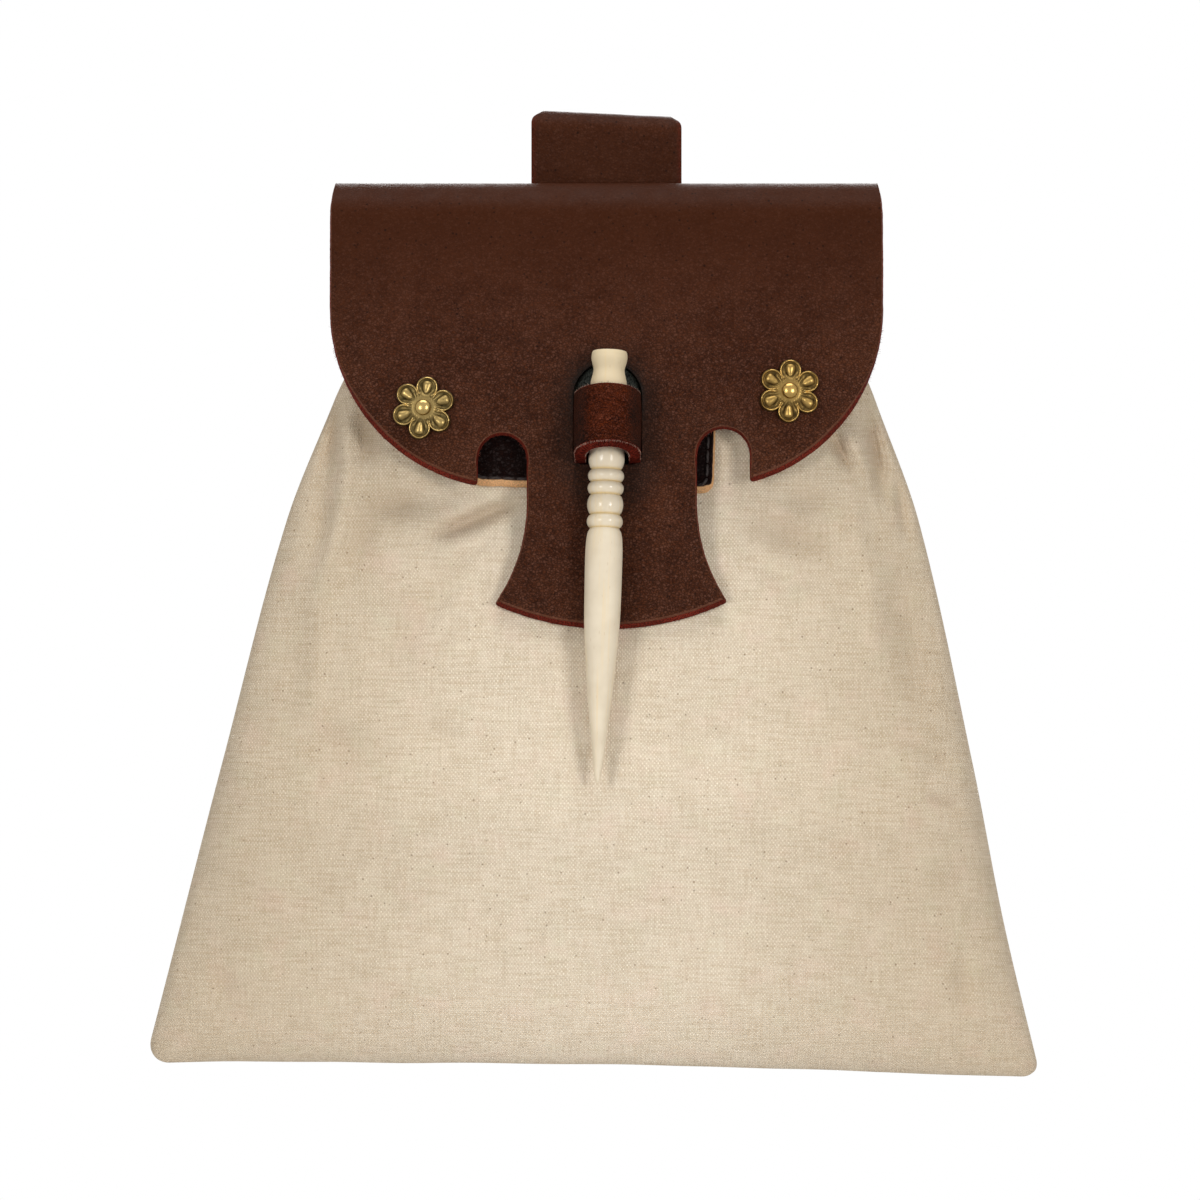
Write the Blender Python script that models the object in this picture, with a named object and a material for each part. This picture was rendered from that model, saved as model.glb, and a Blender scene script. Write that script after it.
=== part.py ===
"""Belt bag: a canvas pouch under a leather flap, which a bone pin closes through a leather loop.

Units are metres, +Z is up and the front faces -Y. The origin is the middle of the opening that the
belt passes through. Heights on the bag are given as drops below the top of the flap's fold.
"""
import math

import bmesh
import bpy
from mathutils import Vector

MM = 0.001

# Materials' thicknesses and the gap that touching pieces keep
LEATHER = 2.2 * MM
LOOP_LEATHER = 3.2 * MM
TAB_LEATHER = 1.8 * MM
CANVAS = 1.0 * MM
BRASS = 0.7 * MM
THREAD_RADIUS = 0.4 * MM
FIT_GAP = 0.3 * MM

# Sewing: the corners of a stitched outline, and how far apart its points are
STITCH_CORNER = 1.0 * MM
STITCH_SPACING = 6.0 * MM

# Belt loop: a strap folded over at the top, behind the back panel
STRAP_WIDTH = 39.3 * MM
STRAP_RISE = 18.7 * MM
BELT_OPENING = 52.0 * MM
BELT_GAP = 6.0 * MM
STRAP_BEND = 7.0 * MM
STRAP_FOOT = 12.0 * MM
STRAP_STITCH_INSET = 3.0 * MM

# Back panel and flap, one sheet bent over a fold
FLAP_WIDTH = 144.0 * MM
FOLD_RADIUS = 11.0 * MM
SIDE_FALL = 6.0 * MM
PANEL_WIDTH = 128.0 * MM
PANEL_DROP = 76.0 * MM
PANEL_CORNER = 12.0 * MM
PANEL_TAPER_TOP = 12.0 * MM
PANEL_TAPER_FOOT = 26.0 * MM
PANEL_SIDE_INSET = 6.0 * MM
PANEL_FOOT_INSET = 5.0 * MM
PANEL_STITCH_TOP = 16.0 * MM
LOBE_DROP = 33.0 * MM
LOBE_RADIUS = 46.5 * MM
LEFT_NOTCH = {"outer": 33.4 * MM, "inner": 20.7 * MM, "top": 65.6 * MM}
RIGHT_NOTCH = {"outer": 37.2 * MM, "inner": 23.5 * MM, "top": 64.0 * MM}
TONGUE_NECK_DROP = 83.0 * MM
TONGUE_FLARE = 46.0 * MM
BLADE_DROP = 116.0 * MM
BLADE_RADIUS = 72.0 * MM
BLADE_SHIFT = 0.5 * MM
FLAP_ROWS = [26.0 * MM, 44.0 * MM, 62.0 * MM, 76.0 * MM, 90.0 * MM, 103.0 * MM]
CUT_WELD = 0.05 * MM

# Slot in the flap, round at the top and nearly square at the bottom
SLOT_TOP_DROP = 47.0 * MM
SLOT_EASE = 0.7 * MM
SLOT_CORNER = 1.5 * MM

# Closure loop and the patch that carries it
LOOP_HEIGHT = 17.2 * MM
LOOP_DROP = 66.0 * MM
LOOP_SHIFT = 0.25 * MM
LOOP_TILT = math.radians(18)
LOOP_EASE = 0.65 * MM
TAB_LENGTH = 10.0 * MM
TAB_BEND = 2.2 * MM
TAB_STITCH_INSET = 2.5 * MM
PATCH_WIDTH = 64.0 * MM
PATCH_SHIFT = -3.4 * MM
PATCH_TOP_DROP = 36.0 * MM
PATCH_BOTTOM_DROP = 79.0 * MM
PATCH_CORNER = 3.0 * MM
PATCH_TILT = math.radians(2)
PATCH_STITCH_INSET = 1.6 * MM

# Bone pin: distances along the pin from the top of its head
PIN_RADIUS = 4.85 * MM
PIN_LENGTH = 113.4 * MM
PIN_TOP_DROP = 44.7 * MM
PIN_SHIFT = 0.8 * MM
PIN_LEAN = math.radians(1.6)
BEAD_RADIUS = 4.73 * MM
GROOVE_RADIUS = 3.75 * MM
BEAD_STARTS = [25.0 * MM, 31.3 * MM, 34.5 * MM, 37.8 * MM, 43.1 * MM, 46.6 * MM]

# Flower rosettes and their rivets
PETALS = 6
PETAL_RADIUS = 2.95 * MM
PETAL_CENTRE = 5.4 * MM
ROSETTE_RISE = 1.1 * MM
RING_RADIUS = 2.75 * MM
HOLLOW_RADIUS = 4.05 * MM
HOLLOW_RISE = 0.6 * MM
RIM_SHARE = 0.8
RIM_RISE = 0.8 * MM
ROSETTE_SIDE = 24.5 * MM
LEFT_ROSETTE = {"drop": 58.9 * MM, "turn": math.radians(10)}
RIGHT_ROSETTE = {"drop": 54.5 * MM, "turn": math.radians(3)}
SHANK_RADIUS = 1.35 * MM
HEAD_RADIUS = 2.1 * MM
HEAD_RISE = 1.6 * MM
WASHER_RADIUS = 3.6 * MM
WASHER_THICKNESS = 0.8 * MM
TAIL_RADIUS = 1.95 * MM
TAIL_HEIGHT = 0.7 * MM

# Canvas pouch
MOUTH_WIDTH = 132.0 * MM
MOUTH_DROP = 13.0 * MM
SHOULDER_DROP = 48.0 * MM
BOTTOM_WIDTH = 233.0 * MM
BOTTOM_DROP = 230.0 * MM
BOTTOM_SLOPE = 0.0165
BOTTOM_CORNER = 6.5 * MM
POUCH_LEAN = -4.2 * MM
POUCH_DEPTH = 41.0 * MM
BELLY_DROP = 168.0 * MM
BOTTOM_DEPTH = 26.0 * MM
CLOSE_HEIGHT = 24.0 * MM
SEAM_SHARE = 0.3
HEM_HEIGHT = 10.0 * MM
FULL_BULGE = 4.0 * MM
MOUTH_CLEARANCE = 2.4 * MM
SWELL_START = 4.0 * MM
SWELL_RAMP = 12.0 * MM
SECTION_SQUARENESS = 5
SECTION_FULLNESS = 0.45
SIDE_SHAPE = [(0.0, 0.0), (0.05, 0.09), (0.16, 0.25), (0.34, 0.43), (0.56, 0.63), (0.78, 0.81), (1.0, 1.0)]

# Places that follow from the sizes above
FLAP_HALF = FLAP_WIDTH / 2
PANEL_HALF = PANEL_WIDTH / 2
FLAP_TOP = BELT_OPENING / 2 + LEATHER - STRAP_RISE
STRAP_FRONT_Y = -BELT_GAP / 2 - LEATHER
PANEL_Y = STRAP_FRONT_Y - FIT_GAP
CANVAS_BACK_Y = PANEL_Y - LEATHER - FIT_GAP
FOLD_CENTRE = Vector((0, PANEL_Y - FOLD_RADIUS, FLAP_TOP - FOLD_RADIUS))
TAB_INSET = LEATHER + 2 * FIT_GAP + 2 * THREAD_RADIUS
PATCH_INSET = TAB_INSET + TAB_LEATHER + FIT_GAP
CANVAS_INSET = PATCH_INSET + LEATHER + 2 * FIT_GAP
PATCH_HIGHEST = PATCH_TOP_DROP - PATCH_WIDTH / 2 * math.sin(PATCH_TILT)
PATCH_LOWEST = PATCH_BOTTOM_DROP + PATCH_WIDTH / 2 * math.sin(PATCH_TILT)
LOOP_HALF = PIN_RADIUS + LOOP_EASE + LOOP_LEATHER / 2
SLOT_HALF = LOOP_HALF + LOOP_LEATHER / 2 + SLOT_EASE
PIN_STANDOFF = PIN_RADIUS + FIT_GAP


def flap_slope():
    """Angle of the flap's front from vertical, so that it lies against the pouch's belly."""
    forward = FOLD_CENTRE.y - (CANVAS_BACK_Y - POUCH_DEPTH - FIT_GAP)
    down = FOLD_CENTRE.z - (FLAP_TOP - BELLY_DROP)
    reach = math.hypot(forward, down)
    return math.acos(FOLD_RADIUS / reach) - math.atan2(down, forward)


FLAP_SLOPE = flap_slope()
BACK_TURN = -math.pi / 2 * FOLD_RADIUS
FRONT_TURN = (math.pi / 2 - FLAP_SLOPE) * FOLD_RADIUS
FRONT_DROP = FOLD_RADIUS * (1 - math.sin(FLAP_SLOPE))
LOBE_RUN = 80.0 * MM


def front_run(drop):
    """Distance along the sheet from the top of the fold to a drop on the front."""
    return FRONT_TURN + (drop - FRONT_DROP) / math.cos(FLAP_SLOPE)


def back_run(drop):
    """Distance along the sheet from the top of the fold to a drop on the back, as a negative number."""
    return BACK_TURN - (drop - FOLD_RADIUS)


def sheet_point(x, run, inset=0.0):
    """Point at an inset behind the bent sheet's outer face, x across and run along it."""
    turn = min(max(run, BACK_TURN), FRONT_TURN)
    angle = turn / FOLD_RADIUS
    outward = Vector((0, -math.sin(angle), math.cos(angle)))
    along = Vector((0, -math.cos(angle), -math.sin(angle)))
    point = FOLD_CENTRE + outward * (FOLD_RADIUS - inset) + along * (run - turn)
    fall = SIDE_FALL * min(max(run - FRONT_TURN, 0) / LOBE_RUN, 1) * (x / FLAP_HALF) ** 2
    return point + Vector((x, fall, 0))


def arc(centre, radius, start, stop, steps):
    """Points of an arc in the sheet's flat pattern, angles in degrees from +x towards +drop."""
    points = []
    for i in range(steps + 1):
        angle = math.radians(start + (stop - start) * i / steps)
        points.append((centre[0] + radius * math.cos(angle), centre[1] + radius * math.sin(angle)))
    return points


def smooth_curve(points):
    """Function for a smooth curve through (position, value) points with rising positions."""
    last = len(points) - 1
    slopes = []
    for i in range(len(points)):
        before = points[max(i - 1, 0)]
        after = points[min(i + 1, last)]
        slopes.append((after[1] - before[1]) / (after[0] - before[0]))

    def value(position):
        i = 0
        while i < last - 1 and position > points[i + 1][0]:
            i += 1
        width = points[i + 1][0] - points[i][0]
        share = min(max((position - points[i][0]) / width, 0), 1)
        rise = points[i + 1][1] - points[i][1]
        start = slopes[i] * width
        end = slopes[i + 1] * width
        bend = share * (1 - share)
        eased = share * share * (3 - 2 * share)
        return points[i][1] + rise * eased + bend * ((1 - share) * start - share * end)

    return value


def material(name, colour, roughness, metallic=0.0):
    """Principled material with a colour, roughness and metallic value."""
    made = bpy.data.materials.get(name) or bpy.data.materials.new(name)
    made.use_nodes = True
    shader = made.node_tree.nodes["Principled BSDF"]
    shader.inputs["Base Color"].default_value = (*colour, 1)
    shader.inputs["Roughness"].default_value = roughness
    shader.inputs["Metallic"].default_value = metallic
    return made


def leather():
    return material("brown_leather", (0.055, 0.017, 0.010), 0.55)


def loop_leather():
    return material("rough_leather", (0.045, 0.011, 0.006), 0.8)


def patch_leather():
    return material("dark_leather", (0.012, 0.004, 0.003), 0.4)


def canvas():
    return material("canvas", (0.70, 0.60, 0.47), 0.95)


def brass():
    return material("brass", (0.55, 0.40, 0.13), 0.35, 1.0)


def bone():
    return material("bone", (0.80, 0.70, 0.52), 0.35)


def thread_finish():
    return material("thread", (0.02, 0.012, 0.01), 0.7)


def finish_mesh(name, bm, finish, smooth_angle=35):
    """Object from a bmesh, with its faces turned outwards and round stretches shaded smooth."""
    bmesh.ops.recalc_face_normals(bm, faces=bm.faces[:])
    mesh = bpy.data.meshes.new(name)
    bm.to_mesh(mesh)
    bm.free()
    mesh.shade_smooth()
    mesh.set_sharp_from_angle(angle=math.radians(smooth_angle))
    mesh.materials.append(finish)
    made = bpy.data.objects.new(name, mesh)
    bpy.context.collection.objects.link(made)
    return made


def cut_lines():
    """Lines (position, direction) that divide the flat pattern, close together round the fold."""
    fold_steps = 10
    runs = [BACK_TURN + (FRONT_TURN - BACK_TURN) * i / fold_steps for i in range(fold_steps + 1)]
    runs += [front_run(drop) for drop in FLAP_ROWS]
    lines = [((0, run, 0), (0, 1, 0)) for run in runs]
    columns = 10
    for i in range(1, columns):
        x = FLAP_HALF * (2 * i / columns - 1)
        lines.append(((x, 0, 0), (1, 0, 0)))
    return lines


def leather_plate(name, outlines, inset, thickness, finish):
    """Closed sheet of leather, bent along with the flap, from an outline and its holes."""
    flat = bmesh.new()
    edges = []
    for outline in outlines:
        corners = [flat.verts.new((x, run, 0)) for x, run in outline]
        edges += [flat.edges.new((corners[i - 1], corner)) for i, corner in enumerate(corners)]
    bmesh.ops.triangle_fill(flat, use_beauty=True, edges=edges)
    for place, direction in cut_lines():
        pattern = flat.verts[:] + flat.edges[:] + flat.faces[:]
        bmesh.ops.bisect_plane(flat, geom=pattern, dist=CUT_WELD, plane_co=place, plane_no=direction)
    bmesh.ops.triangulate(flat, faces=flat.faces[:])
    flat.verts.index_update()

    solid = bmesh.new()
    front = [solid.verts.new(sheet_point(v.co.x, v.co.y, inset)) for v in flat.verts]
    rear = [solid.verts.new(sheet_point(v.co.x, v.co.y, inset + thickness)) for v in flat.verts]
    for face in flat.faces:
        ids = [v.index for v in face.verts]
        solid.faces.new([front[i] for i in ids])
        solid.faces.new([rear[i] for i in reversed(ids)])
    for edge in flat.edges:
        if edge.is_boundary:
            a, b = (v.index for v in edge.verts)
            solid.faces.new((front[a], front[b], rear[b], rear[a]))
    flat.free()
    return finish_mesh(name, solid, finish)


def tongue_corner(inner, side):
    """Where the tongue's flared side meets the blade's arc, as the flare's angle in degrees."""
    blade_centre = BLADE_DROP - BLADE_RADIUS
    angle = 0.0
    while True:
        x = inner + TONGUE_FLARE * (1 - math.cos(math.radians(angle)))
        drop = TONGUE_NECK_DROP + TONGUE_FLARE * math.sin(math.radians(angle))
        blade = blade_centre + math.sqrt(BLADE_RADIUS ** 2 - (side * x - BLADE_SHIFT) ** 2)
        if drop >= blade:
            return angle
        angle += 0.25


def flap_side(notch, side):
    """Half of the flap's outline in (x, drop), from the fold to the middle of the blade."""
    lobe_x = FLAP_HALF - LOBE_RADIUS
    lobe_end = math.degrees(math.acos((notch["outer"] - lobe_x) / LOBE_RADIUS))
    points = arc((lobe_x, LOBE_DROP), LOBE_RADIUS, 0, lobe_end, 10)
    radius = (notch["outer"] - notch["inner"]) / 2
    crown = (notch["inner"] + radius, notch["top"] + radius)
    points += [(x, 2 * crown[1] - drop) for x, drop in arc(crown, radius, 0, 180, 8)]
    corner = tongue_corner(notch["inner"], side)
    flare = arc((notch["inner"] + TONGUE_FLARE, TONGUE_NECK_DROP), TONGUE_FLARE, 180, 180 - corner, 5)
    points += flare
    blade_centre = BLADE_DROP - BLADE_RADIUS
    corner_x = flare[-1][0]
    blade_steps = 5
    for i in range(1, blade_steps):
        x = corner_x * (1 - i / blade_steps)
        points.append((x, blade_centre + math.sqrt(BLADE_RADIUS ** 2 - (side * x - BLADE_SHIFT) ** 2)))
    return [(side * x, drop) for x, drop in points]


def slot_outline():
    """Slot in (x, drop): a round top over the pin's head, and a square foot under the loop's legs."""
    top = arc((LOOP_SHIFT, SLOT_TOP_DROP + SLOT_HALF), SLOT_HALF, 180, 360, 10)
    foot = LOOP_DROP + LOOP_HEIGHT / 2 + SLOT_EASE
    right = LOOP_SHIFT + SLOT_HALF - SLOT_CORNER
    left = LOOP_SHIFT - SLOT_HALF + SLOT_CORNER
    corners = arc((right, foot), SLOT_CORNER, 0, 90, 3)
    corners += arc((left, foot), SLOT_CORNER, 90, 180, 3)
    return top + corners


def rosette_places():
    """Each rosette's side, its place on the flap as (x, drop), and how far it is turned clockwise."""
    side = FLAP_HALF - ROSETTE_SIDE
    return [("left", -side, LEFT_ROSETTE["drop"], LEFT_ROSETTE["turn"]),
            ("right", side, RIGHT_ROSETTE["drop"], RIGHT_ROSETTE["turn"])]


def build_flap():
    """One sheet of leather: back panel, fold and flap, with its slot and two rivet holes."""
    right = flap_side(RIGHT_NOTCH, 1)
    left = flap_side(LEFT_NOTCH, -1)
    middle = [(0, BLADE_DROP - BLADE_RADIUS + math.sqrt(BLADE_RADIUS ** 2 - BLADE_SHIFT ** 2))]
    front = right + middle + left[::-1]
    outline = [(x, front_run(drop)) for x, drop in front]
    corner_x = PANEL_HALF - PANEL_CORNER
    corner_drop = PANEL_DROP - PANEL_CORNER
    back = [(-FLAP_HALF, PANEL_TAPER_TOP), (-PANEL_HALF, PANEL_TAPER_FOOT)]
    back += arc((-corner_x, corner_drop), PANEL_CORNER, 180, 90, 5)
    back += arc((corner_x, corner_drop), PANEL_CORNER, 90, 0, 5)
    back += [(PANEL_HALF, PANEL_TAPER_FOOT), (FLAP_HALF, PANEL_TAPER_TOP)]
    outline += [(x, back_run(drop)) for x, drop in back]
    holes = [slot_outline()]
    for _, x, drop, _ in rosette_places():
        holes.append(arc((x, drop), SHANK_RADIUS + 2 * FIT_GAP, 0, 330, 11))
    hole_outlines = [[(x, front_run(drop)) for x, drop in hole] for hole in holes]
    leather_plate("leather_back_and_flap", [outline] + hole_outlines, 0.0, LEATHER, leather())


def rounded_rectangle(x, drop, width, height, radius):
    """Outline of a rectangle with round corners in (x, drop), about its centre."""
    points = []
    for sx, sy, start in ((1, 1, 0), (-1, 1, 90), (-1, -1, 180), (1, -1, 270)):
        centre = (x + sx * (width / 2 - radius), drop + sy * (height / 2 - radius))
        points += arc(centre, radius, start, start + 90, 4)
    return points


def patch_outline(inset):
    """Outline of the patch in (x, run), drawn in by an inset."""
    drop = (PATCH_TOP_DROP + PATCH_BOTTOM_DROP) / 2
    width = PATCH_WIDTH - 2 * inset
    height = PATCH_BOTTOM_DROP - PATCH_TOP_DROP - 2 * inset
    corner = PATCH_CORNER - inset / 2
    outline = []
    for x, down in rounded_rectangle(0, 0, width, height, corner):
        across = x * math.cos(PATCH_TILT) - down * math.sin(PATCH_TILT)
        along = x * math.sin(PATCH_TILT) + down * math.cos(PATCH_TILT)
        outline.append((PATCH_SHIFT + across, front_run(drop + along)))
    return outline


def spread(points, spacing):
    """Closed outline's points with more between them, no further apart than the spacing."""
    filled = []
    for i, end in enumerate(points):
        start = points[i - 1]
        steps = max(1, math.ceil(math.dist(start, end) / spacing))
        for step in range(1, steps + 1):
            share = step / steps
            filled.append(tuple(a + (b - a) * share for a, b in zip(start, end)))
    return filled


def thread(name, points, closed):
    """Sewing thread as a tube through its points."""
    curve = bpy.data.curves.new(name, "CURVE")
    curve.dimensions = "3D"
    curve.bevel_depth = THREAD_RADIUS
    curve.bevel_resolution = 1
    curve.use_fill_caps = not closed
    spline = curve.splines.new("POLY")
    spline.points.add(len(points) - 1)
    for target, point in zip(spline.points, points):
        target.co = (*point, 1)
    spline.use_cyclic_u = closed
    curve.materials.append(thread_finish())
    made = bpy.data.objects.new(name, curve)
    bpy.context.collection.objects.link(made)


def build_patch():
    """Leather patch on the canvas behind the slot, and the thread round its edge."""
    leather_plate("closure_patch", [patch_outline(0.0)], PATCH_INSET, LEATHER, patch_leather())
    route = spread(patch_outline(PATCH_STITCH_INSET), STITCH_SPACING)
    lift = PATCH_INSET - FIT_GAP - THREAD_RADIUS
    thread("patch_thread", [sheet_point(x, run, lift) for x, run in route], True)


def loop_stations():
    """The loop's middle line as (x, height over the flap, direction in degrees, thickness, turn share)."""
    tab_height = -(TAB_INSET + TAB_LEATHER / 2)
    leg_foot = tab_height + TAB_BEND
    pin_front = PIN_STANDOFF + PIN_RADIUS + FIT_GAP
    crown_height = (pin_front + LOOP_HEIGHT / 2 * math.sin(LOOP_TILT)) / math.cos(LOOP_TILT)
    centre = crown_height + LOOP_LEATHER / 2 - LOOP_HALF
    outer = LOOP_HALF + TAB_BEND
    stations = [(-outer - TAB_LENGTH, tab_height, 0, TAB_LEATHER, 0)]
    bend_steps = 5
    for i in range(bend_steps + 1):
        angle = math.radians(90 * i / bend_steps)
        x = -outer + TAB_BEND * math.sin(angle)
        height = leg_foot - TAB_BEND * math.cos(angle)
        thickness = TAB_LEATHER + (LOOP_LEATHER - TAB_LEATHER) * i / bend_steps
        stations.append((x, height, 90 * i / bend_steps, thickness, 0))
    stations.append((-LOOP_HALF, 0, 90, LOOP_LEATHER, 1))
    crown_steps = 12
    for i in range(crown_steps // 2 + 1):
        angle = 180 * i / crown_steps
        x = -LOOP_HALF * math.cos(math.radians(angle))
        height = centre + LOOP_HALF * math.sin(math.radians(angle))
        stations.append((x, height, 90 - angle, LOOP_LEATHER, 1))
    mirrored = [(-x, height, -turn, thick, share) for x, height, turn, thick, share in stations[-2::-1]]
    return stations + mirrored


def build_closure_loop():
    """Strap of leather that stands out through the slot, its two ends turned out onto the patch."""
    bm = bmesh.new()
    middle_run = front_run(LOOP_DROP)
    rings = []
    for x, height, direction, thickness, share in loop_stations():
        turn = math.radians(direction)
        tilt = LOOP_TILT * share
        ring = []
        for across, down in ((1, -1), (1, 1), (-1, 1), (-1, -1)):
            offset = across * thickness / 2
            side = LOOP_SHIFT + x - offset * math.sin(turn)
            level = height + offset * math.cos(turn)
            reach = down * LOOP_HEIGHT / 2
            out = level * math.cos(tilt) + reach * math.sin(tilt)
            run = middle_run + reach * math.cos(tilt) - level * math.sin(tilt)
            ring.append(bm.verts.new(sheet_point(side, run, -out)))
        rings.append(ring)
    for first, second in zip(rings, rings[1:]):
        for i in range(4):
            bm.faces.new((first[i - 1], first[i], second[i], second[i - 1]))
    bm.faces.new(rings[0])
    bm.faces.new(rings[-1][::-1])
    bmesh.ops.triangulate(bm, faces=bm.faces[:])
    finish_mesh("closure_loop", bm, loop_leather())


def build_tab_threads():
    """Stitching that holds the closure loop's two ends on the patch."""
    middle = LOOP_HALF + TAB_BEND + TAB_LENGTH / 2
    width = TAB_LENGTH - 2 * TAB_STITCH_INSET
    height = LOOP_HEIGHT - 2 * TAB_STITCH_INSET
    lift = TAB_INSET - FIT_GAP - THREAD_RADIUS
    for name, side in (("left_tab_thread", -1), ("right_tab_thread", 1)):
        outline = rounded_rectangle(LOOP_SHIFT + side * middle, LOOP_DROP, width, height, STITCH_CORNER)
        route = spread([(x, front_run(drop)) for x, drop in outline], STITCH_SPACING)
        thread(name, [sheet_point(x, run, lift) for x, run in route], True)


def build_belt_loop():
    """Strap folded over at the top, its rear leg bent in to lie on the front leg at the foot."""
    inner = BELT_GAP / 2
    outer = inner + LEATHER
    top = BELT_OPENING / 2 - inner
    foot_top = -BELT_OPENING / 2 - STRAP_BEND
    foot = foot_top - STRAP_FOOT
    foot_y = STRAP_FRONT_Y + LEATHER + FIT_GAP
    shift = inner - foot_y
    bend_steps = 6
    rear_outer = []
    rear_inner = []
    for i in range(bend_steps + 1):
        share = i / bend_steps
        eased = share * share * (3 - 2 * share)
        z = -BELT_OPENING / 2 - STRAP_BEND * share
        rear_inner.append((inner - shift * eased, z))
        rear_outer.append((inner - shift * eased + LEATHER, z))
    crown_outer = [(y, z + top) for y, z in arc((0, 0), outer, 180, 0, 12)]
    crown_inner = [(y, z + top) for y, z in arc((0, 0), inner, 0, 180, 12)]
    outline = [(-outer, foot)] + crown_outer + rear_outer + [(foot_y + LEATHER, foot), (foot_y, foot)]
    outline += rear_inner[::-1] + crown_inner + [(-inner, foot)]
    bm = bmesh.new()
    face = bm.faces.new([bm.verts.new((-STRAP_WIDTH / 2, y, z)) for y, z in outline])
    grown = bmesh.ops.extrude_face_region(bm, geom=[face])["geom"]
    moved = [item for item in grown if isinstance(item, bmesh.types.BMVert)]
    bmesh.ops.translate(bm, verts=moved, vec=(STRAP_WIDTH, 0, 0))
    bmesh.ops.triangulate(bm, faces=bm.faces[:])
    finish_mesh("belt_loop", bm, leather())

    width = STRAP_WIDTH - 2 * STRAP_STITCH_INSET
    height = STRAP_FOOT - 2 * STRAP_STITCH_INSET
    middle = (foot_top + foot) / 2
    stitch_y = foot_y + LEATHER + FIT_GAP + THREAD_RADIUS
    outline = spread(rounded_rectangle(0, middle, width, height, STITCH_CORNER), STITCH_SPACING)
    thread("belt_loop_thread", [(x, stitch_y, z) for x, z in outline], True)


def build_panel_thread():
    """Stitching down both sides and along the foot of the back panel."""
    side = PANEL_HALF - PANEL_SIDE_INSET
    foot = PANEL_DROP - PANEL_FOOT_INSET
    corner = PANEL_CORNER - PANEL_FOOT_INSET
    route = [(-side, PANEL_STITCH_TOP)]
    route += arc((-side + corner, foot - corner), corner, 180, 90, 5)
    route += arc((side - corner, foot - corner), corner, 90, 0, 5)
    route.append((side, PANEL_STITCH_TOP))
    y = PANEL_Y + FIT_GAP + THREAD_RADIUS
    points = [(x, y, FLAP_TOP - drop) for x, drop in route]
    thread("back_panel_thread", points, False)


def set_upright(made, place, direction):
    """Moves an object to a place, its own z axis along a direction."""
    made.matrix_world = direction.to_track_quat("Z", "Y").to_matrix().to_4x4()
    made.location = place


def ring_around(bm, radius, distance, segments):
    """Ring of points round the z axis."""
    ring = []
    for i in range(segments):
        angle = 2 * math.pi * i / segments
        ring.append(bm.verts.new((radius * math.cos(angle), radius * math.sin(angle), distance)))
    return ring


def turned(name, profile, segments, finish):
    """Turned piece from (distance, radius) points along its axis, first and last on the axis."""
    bm = bmesh.new()
    rings = [ring_around(bm, radius, distance, segments) for distance, radius in profile[1:-1]]
    for first, second in zip(rings, rings[1:]):
        for i in range(segments):
            bm.faces.new((first[i - 1], first[i], second[i], second[i - 1]))
    for end, ring in ((profile[0], rings[0]), (profile[-1], rings[-1])):
        tip = bm.verts.new((0, 0, end[0]))
        for i in range(segments):
            bm.faces.new((tip, ring[i - 1], ring[i]))
    return finish_mesh(name, bm, finish)


def pin_profile():
    """The pin's (distance, radius) points: head, waist, neck, beads, long shaft and point."""
    head = [(0.0, 0.0), (0.1, 0.8), (0.9, 0.95), (2.2, 0.96), (3.6, 0.9), (5.0, 0.83), (6.6, 0.88)]
    head += [(8.4, 0.965), (12.0, 0.93), (17.0, 0.89), (22.0, 0.87)]
    points = [(distance * MM, share * PIN_RADIUS) for distance, share in head]
    bead_steps = 6
    for start, stop in zip(BEAD_STARTS, BEAD_STARTS[1:]):
        for i in range(bead_steps):
            swell = math.sin(math.pi * i / bead_steps) ** 0.7
            radius = GROOVE_RADIUS + (BEAD_RADIUS - GROOVE_RADIUS) * swell
            points.append((start + (stop - start) * i / bead_steps, radius))
    points.append((BEAD_STARTS[-1], GROOVE_RADIUS))
    shaft_start = BEAD_STARTS[-1]
    shaft = [(0.012, 0.88), (0.045, 0.965), (0.11, 1.0), (0.24, 0.99), (0.37, 0.955), (0.5, 0.84)]
    shaft += [(0.63, 0.7), (0.74, 0.55), (0.84, 0.395), (0.93, 0.245), (0.98, 0.15), (0.995, 0.08)]
    shaft.append((1.0, 0.0))
    for share, radius in shaft:
        points.append((shaft_start + (PIN_LENGTH - shaft_start) * share, radius * PIN_RADIUS))
    return points


def pin_axis():
    """The top of the pin's head, and the direction from head to point."""
    run = front_run(PIN_TOP_DROP)
    top = sheet_point(0, run, -PIN_STANDOFF) + Vector((PIN_SHIFT, 0, 0))
    down = sheet_point(0, run + PIN_LENGTH) - sheet_point(0, run)
    direction = down.normalized() * math.cos(PIN_LEAN) + Vector((-math.sin(PIN_LEAN), 0, 0))
    return top, direction


def build_pin():
    """Turned bone pin, its object's origin at the top of its head and on its axis."""
    top, direction = pin_axis()
    pin = turned("bone_pin", pin_profile(), 28, bone())
    set_upright(pin, top, direction)


def sheet_frame(x, drop):
    """Place on the flap's outer face and its outward direction."""
    run = front_run(drop)
    place = sheet_point(x, run)
    step = 1 * MM
    across = sheet_point(x + step, run) - sheet_point(x - step, run)
    along = sheet_point(x, run + step) - sheet_point(x, run - step)
    return place, along.cross(across).normalized()


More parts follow.
